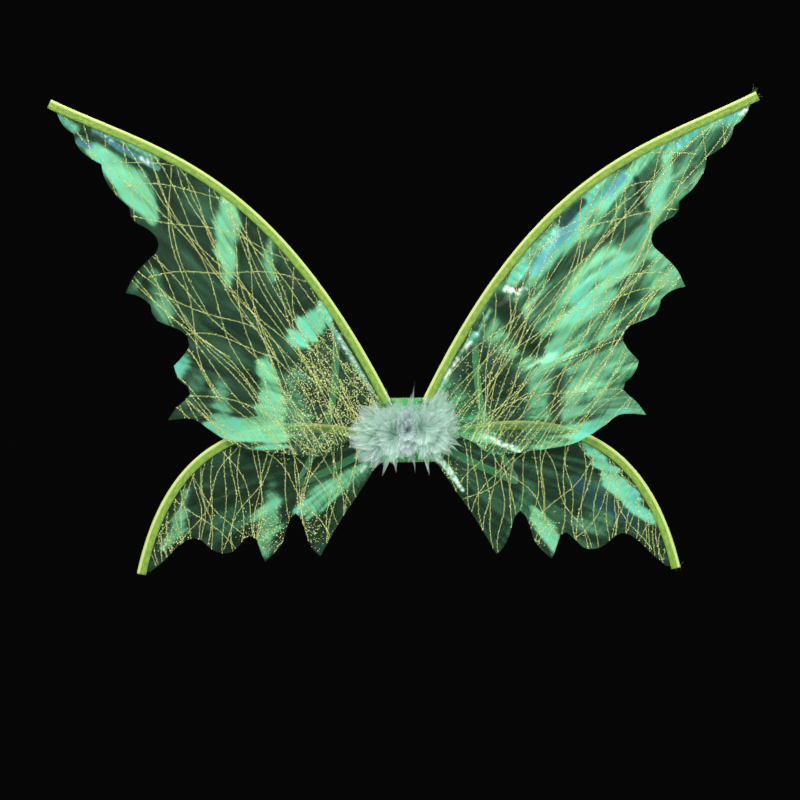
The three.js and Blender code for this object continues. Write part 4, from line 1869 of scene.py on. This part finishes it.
@dataclass
class Studio:
    """Camera, lamps, backdrop colour and floor."""

    eye: tuple[float, float, float] = (-0.0072, -2.073, 0.0328)
    lens: float = 85.0
    roll: float = 0.66
    floor_z: float = -1.0
    floor_radius: float = 1.5

    def camera(self) -> None:
        """Sets up the camera, level and looking along +Y."""
        bpy.ops.object.camera_add(location=self.eye)
        camera = bpy.context.object
        camera.data.lens = self.lens
        camera.data.sensor_width = 36.0
        aim = Quaternion((0, 1, 0), math.radians(self.roll))
        camera.rotation_euler = (aim @ Quaternion((1, 0, 0), math.radians(90))).to_euler()
        bpy.context.scene.camera = camera

    def lamp(
        self, name: str, place: Sequence[float], size: float, power: float, tone: Sequence[float]
    ) -> None:
        """A square soft lamp that faces the middle of the object."""
        bpy.ops.object.light_add(type="AREA", location=place)
        lamp = bpy.context.object
        lamp.name = name
        lamp.data.size = size
        lamp.data.energy = power
        lamp.data.color = tone
        aim = Vector((0, 0, 0.05)) - Vector(place)
        lamp.rotation_euler = aim.to_track_quat("-Z", "Y").to_euler()

    def light(self) -> None:
        """Soft light from both sides and above, and weaker light from behind."""
        self.lamp("key", (-1.1, -1.9, 1.3), 1.0, 55, (1, 0.99, 0.97))
        self.lamp("fill", (1.5, -1.7, 0.3), 1.2, 30, (0.97, 0.99, 1))
        self.lamp("top", (0.1, -0.3, 1.9), 1.0, 22, (1, 1, 1))
        self.lamp("back", (-0.9, 1.9, 0.9), 1.3, 30, (1, 1, 1))
        self.lamp("back_low", (1.3, 1.6, 0.2), 1.3, 22, (1, 1, 1))
        world = bpy.data.worlds.new("dusk")
        world.use_nodes = True
        world.node_tree.nodes["Background"].inputs["Color"].default_value = (1, 1, 1, 1)
        world.node_tree.nodes["Background"].inputs["Strength"].default_value = 0.002
        bpy.context.scene.world = world

    def floor(self, material: bpy.types.Material) -> None:
        """A pale round floor, well below the object."""
        bpy.ops.mesh.primitive_circle_add(
            vertices=96,
            radius=self.floor_radius,
            fill_type="NGON",
            location=(0, 0, self.floor_z),
        )
        floor = bpy.context.object
        floor.name = "floor"
        floor.data.materials.append(material)

    def develop(self) -> None:
        """Plain colour response, and enough light paths for many clear layers."""
        scene = bpy.context.scene
        scene.view_settings.view_transform = "Standard"
        scene.cycles.transparent_max_bounces = 32
        scene.cycles.max_bounces = 12


# ---------------------------------------------------------------- the object


class FairyWings:
    """The whole object, dressed."""

    FLATS = {
        Level.UPPER: ((0.347, 0.376), 0.0552),
        Level.LOWER: ((0.262, 0.154), 0.0241),
    }
    FRAYS = {
        (Level.UPPER, Side.RIGHT): 20,
        (Level.LOWER, Side.RIGHT): 9,
    }
    SCATTERED = {
        (Level.UPPER, Side.LEFT): 2800,
        (Level.UPPER, Side.RIGHT): 500,
        (Level.LOWER, Side.LEFT): 350,
        (Level.LOWER, Side.RIGHT): 200,
    }

    def __init__(self, frame: dict[str, Any]) -> None:
        """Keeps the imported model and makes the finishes."""
        self.nodes = frame["nodes"]
        self.film = IridescentFilm().build()
        self.gold = GoldGlitter().build()
        self.glue_line = GlitterGlue().build()
        # The binding's pale colour, cfe482, is a painted highlight along its fold.
        self.binding = Satin("binding_satin", "94bc42", "cfe482", "6a9030", 0.0014, 0.0024).build()
        self.cover = Satin("cover_satin", "5fbf70", "8fdc98", "3f9a52").build()
        self.elastic = Elastic().build()
        self.tulle = Tulle().build()
        self.steel = DrawnSteel().build()
        self.thread = SoftPlain("thread", "a8cc4a", "7da232", 2400.0, 0.7, 0.15).build()
        self.loose_thread = SoftPlain("loose_thread", "6f9a34", "3f6420", 900.0, 0.8).build()
        self.white_thread = SoftPlain("white_thread", "dfe8e0", "b9c8bc", 2400.0, 0.8).build()
        self.board = SoftPlain("board", "44965a", "2f7442", 700.0, 0.7).build()
        self.glue = SoftPlain("glue", "d8d4c4", "b8b29c", 300.0, 0.4, 0.1).build()
        self.knit = KnitCover().build()

    def dress_node(self, name: str, material: bpy.types.Material) -> None:
        """Gives a model node its finish."""
        node = self.nodes[name]
        node.data.materials.clear()
        node.data.materials.append(material)

    def wing(self, plane: WingPlane, look: FilmLook, seed: int) -> None:
        """Builds one wing."""
        spar = Spar(plane.level)
        flat, area = self.FLATS[plane.level]
        tape = Binding(plane, spar, seed + 50)
        tape.make(self.binding)
        tape.stitches(self.thread)
        if (plane.level, plane.side) in self.FRAYS:
            threads = self.FRAYS[plane.level, plane.side]
            FrayedEnd(plane, spar, seed + 60, threads).make(self.loose_thread)
        film = Film(plane, spar, look, flat, area, seed)
        sheet = film.make(self.film)
        glitter = Glitter(film, seed + 3, self.SCATTERED[plane.level, plane.side])
        film.declare(sheet, [glitter.beads(self.glue_line), glitter.grains(self.gold)])


# For each film, its painted sheen: the ground level, the bright runs, the dark runs, the glints, and
# then the patches of dust.
LOOKS = {
    (Level.UPPER, Side.LEFT): FilmLook(
        0.13,
        (
            Run(((178, 250, 7), (177, 222, 13), (180, 192, 12), (179, 162, 5)), 0.9, 0.48),
            Run(((132, 210, 2), (136, 190, 7), (131, 165, 3)), 0.65, 0.42),
            Run(((72, 132, 11), (98, 106, 15)), 0.95, 0.6),
            Run(((140, 76, 8), (133, 38, 14), (136, 4, 18)), 0.9, 0.42),
            Run(((136, 0, 18), (176, 3, 13), (200, 7, 8)), 0.95, 0.5),
            Run(((112, 55, 12), (106, 10, 14)), 0.5, 0.35, 8),
            Run(((190, 44, 9), (185, 17, 9)), 0.55, 0.4),
            Run(((259, 168, 8), (246, 126, 8)), 0.55, 0.28),
            Run(((280, 155, 5), (268, 172, 3)), 0.45, 0.4),
            Run(
                ((258, 230, 6), (266, 250, 13), (280, 268, 17), (302, 286, 12), (320, 302, 7)),
                0.88, 0.42, 4,
            ),
            Run(((356, 336, 7), (340, 324, 6)), 0.8, 0.7, 3),
            Run(((334, 312, 5), (324, 306, 4)), 0.5, 0.95, 2),
            Run(((319, 324, 3), (290, 303, 3.5), (271, 293, 4), (252, 284, 3)), 0.62, 0.95, 1.2),
            Run(((304, 318, 3), (276, 306, 4), (252, 293, 3)), 0.6, 0.5, 1.5),
            Run(((228, 78, 7), (235, 64, 6)), 0.7, 0.6),
            Run(((212, 54, 8), (224, 40, 7)), 0.35, 0.3),
            Run(((74, 122, 2.5), (46, 80, 2.5), (24, 42, 2)), 0.7, 0.8, 1.5),
        ),
        (),
        (
            Run(((276, 297, 2), (262, 289, 2.5)), 0.8, 0, 1),
            Run(((316, 322, 1.6), (298, 310, 1.6)), 0.7, 0, 1),
            Run(((60, 100, 2), (34, 60, 1.5)), 0.6, 0, 1),
        ),
    ),
    (Level.UPPER, Side.RIGHT): FilmLook(
        0.58,
        (
            Run(((272, 288, 5), (267, 268, 8), (256, 238, 7)), 1.0, 0.52),
            Run(((222, 268, 6), (188, 240, 8), (150, 203, 9), (128, 172, 6)), 0.8, 0.78, 7),
            Run(((240, 208, 7), (196, 134, 13), (162, 106, 12), (138, 78, 8)), 0.9, 0.52),
            Run(((116, 176, 6), (106, 160, 5)), 0.85, 0.6),
            Run(((282, 168, 9), (262, 158, 11)), 0.9, 0.42),
            Run(((222, 16, 7), (195, 4, 9), (172, -8, 9)), 0.9, 0.72),
            Run(((282, 300, 6), (312, 320, 6), (342, 330, 7)), 0.8, 0.68),
            Run(((250, 100, 9), (210, 74, 9), (188, 44, 10)), 0.7, 0.36),
            Run(((190, 70, 8), (170, 40, 9), (162, 12, 9)), 0.75, 0.42),
            Run(((200, 170, 8), (172, 140, 8)), 0.75, 0.62),
            Run(((62, 104, 3), (40, 74, 3), (16, 40, 2)), 0.95, 0.75, 1.5),
            Run(((70, -8, 3), (108, -24, 4)), 0.9, 0.5, 1.5),
        ),
        (
            Run(((90, 136, 11), (119, 95, 13), (132, 82, 6)), 0.85),
            Run(((145, 164, 6), (176, 188, 9), (206, 206, 6)), 0.7),
            Run(((180, 243, 4), (158, 223, 6)), 0.8, 0, 2),
            Run(((238, 266, 3), (243, 234, 4)), 0.85, 0, 1.5),
            Run(((240, 216, 9), (228, 200, 12)), 0.5),
            Run(((246, 176, 5), (232, 138, 6)), 0.5),
            Run(((240, 110, 5), (214, 92, 4)), 0.45),
            Run(((154, 60, 6), (146, 30, 6), (150, 6, 5)), 0.75),
            Run(((60, 70, 26), (92, 40, 26), (100, 0, 16)), 0.8, 0, 8),
            Run(((200, 118, 3), (186, 88, 3)), 0.4),
            Run(((300, 284, 5), (292, 262, 4)), 0.45),
        ),
        (
            Run(((96, 152, 3), (116, 147, 5)), 1.0, 0, 1),
            Run(((355, 337, 3), (349, 331, 2)), 1.0, 0, 1),
            Run(((62, 103, 2), (40, 74, 2.5), (18, 42, 1.5)), 1.0, 0, 1),
            Run(((70, -7, 2), (108, -24, 3.5)), 1.0, 0, 1),
        ),
    ),
    (Level.LOWER, Side.LEFT): FilmLook(
        0.1,
        (
            Run(((30, -36, 6), (56, -56, 11), (84, -74, 13), (96, -86, 8)), 0.8, 0.42),
            Run(((134, -72, 8), (139, -100, 14), (145, -130, 7)), 0.75, 0.34),
            Run(((226, -64, 3), (236, -104, 9), (249, -122, 4)), 0.7, 0.42),
            Run(((252, -125, 3),), 0.95, 0.55, 1.5),
            Run(((100, -76, 5), (106, -86, 5)), 0.85, 0.75),
            Run(((133, -56, 4),), 0.5, 0.25),
            Run(((188, -94, 13), (166, -88, 9)), 0.3, 0.25, 8),
        ),
        (),
        (Run(((24, -30, 2), (36, -44, 2)), 0.7, 0, 1),),
        ((142, -108, 26, 380), (240, -116, 16, 170), (96, -106, 22, 240)),
    ),
    (Level.LOWER, Side.RIGHT): FilmLook(
        0.15,
        (
            Run(((180, -18, 5), (208, -52, 10), (228, -80, 9), (250, -100, 5)), 0.95, 0.58, 2),
            Run(((172, -60, 9), (210, -90, 9), (240, -110, 5)), 0.2, 0.9, 7),
            Run(((176, -104, 12), (200, -104, 9)), 0.42, 0.5, 6),
            Run(((122, -88, 4), (137, -112, 9), (151, -137, 8)), 0.9, 0.42, 3),
            Run(((118, -66, 9), (100, -114, 7)), 0.35, 0.25),
            Run(((143, -92, 11),), 0.3, 0.25, 6),
            Run(((16, -26, 3), (30, -42, 4), (46, -66, 2)), 0.9, 0.5, 1.5),
        ),
        (),
        (Run(((16, -26, 2.5), (30, -42, 3.5), (46, -66, 1.5)), 0.9, 0, 1),),
        ((138, -112, 18, 110), (34, -46, 16, 90)),
    ),
}


def main() -> None:
    """Builds the object and the studio round it."""
    logging.basicConfig(level=logging.INFO, format="%(name)s: %(message)s")
    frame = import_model()
    studio = Studio()
    studio.camera()
    studio.light()
    studio.floor(SoftPlain("floor_paper", "e6e4df", "dcdad4", 3.0, 0.9, 0.0).build())
    studio.develop()
    wings = FairyWings(frame)
    for side in Side:
        ArmLoop(side).make(wings.elastic)
    back = BackPiece()
    back.make_board(wings.board)
    back.make_cover(wings.cover)
    back.make_pad(wings.knit)
    back.make_stitches(wings.thread)
    for side in Side:
        back.make_channel(side, wings.cover)
        wings.dress_node(f"wing_wire_{side.label}", wings.steel)
        for level in Level:
            wings.dress_node(f"{level.value}_tip_bead_{side.label}", wings.glue)
    for seed, ((level, side), look) in enumerate(LOOKS.items()):
        wings.wing(WingPlane(side, level), look, 100 + 10 * seed)
    flower = TulleFlower()
    for seed, cluster in enumerate(flower.clusters):
        flower.make(cluster, 300 + seed, wings.tulle)
        flower.make_tie(cluster, 320 + seed, wings.white_thread)


if __name__ == "__main__":
    main()
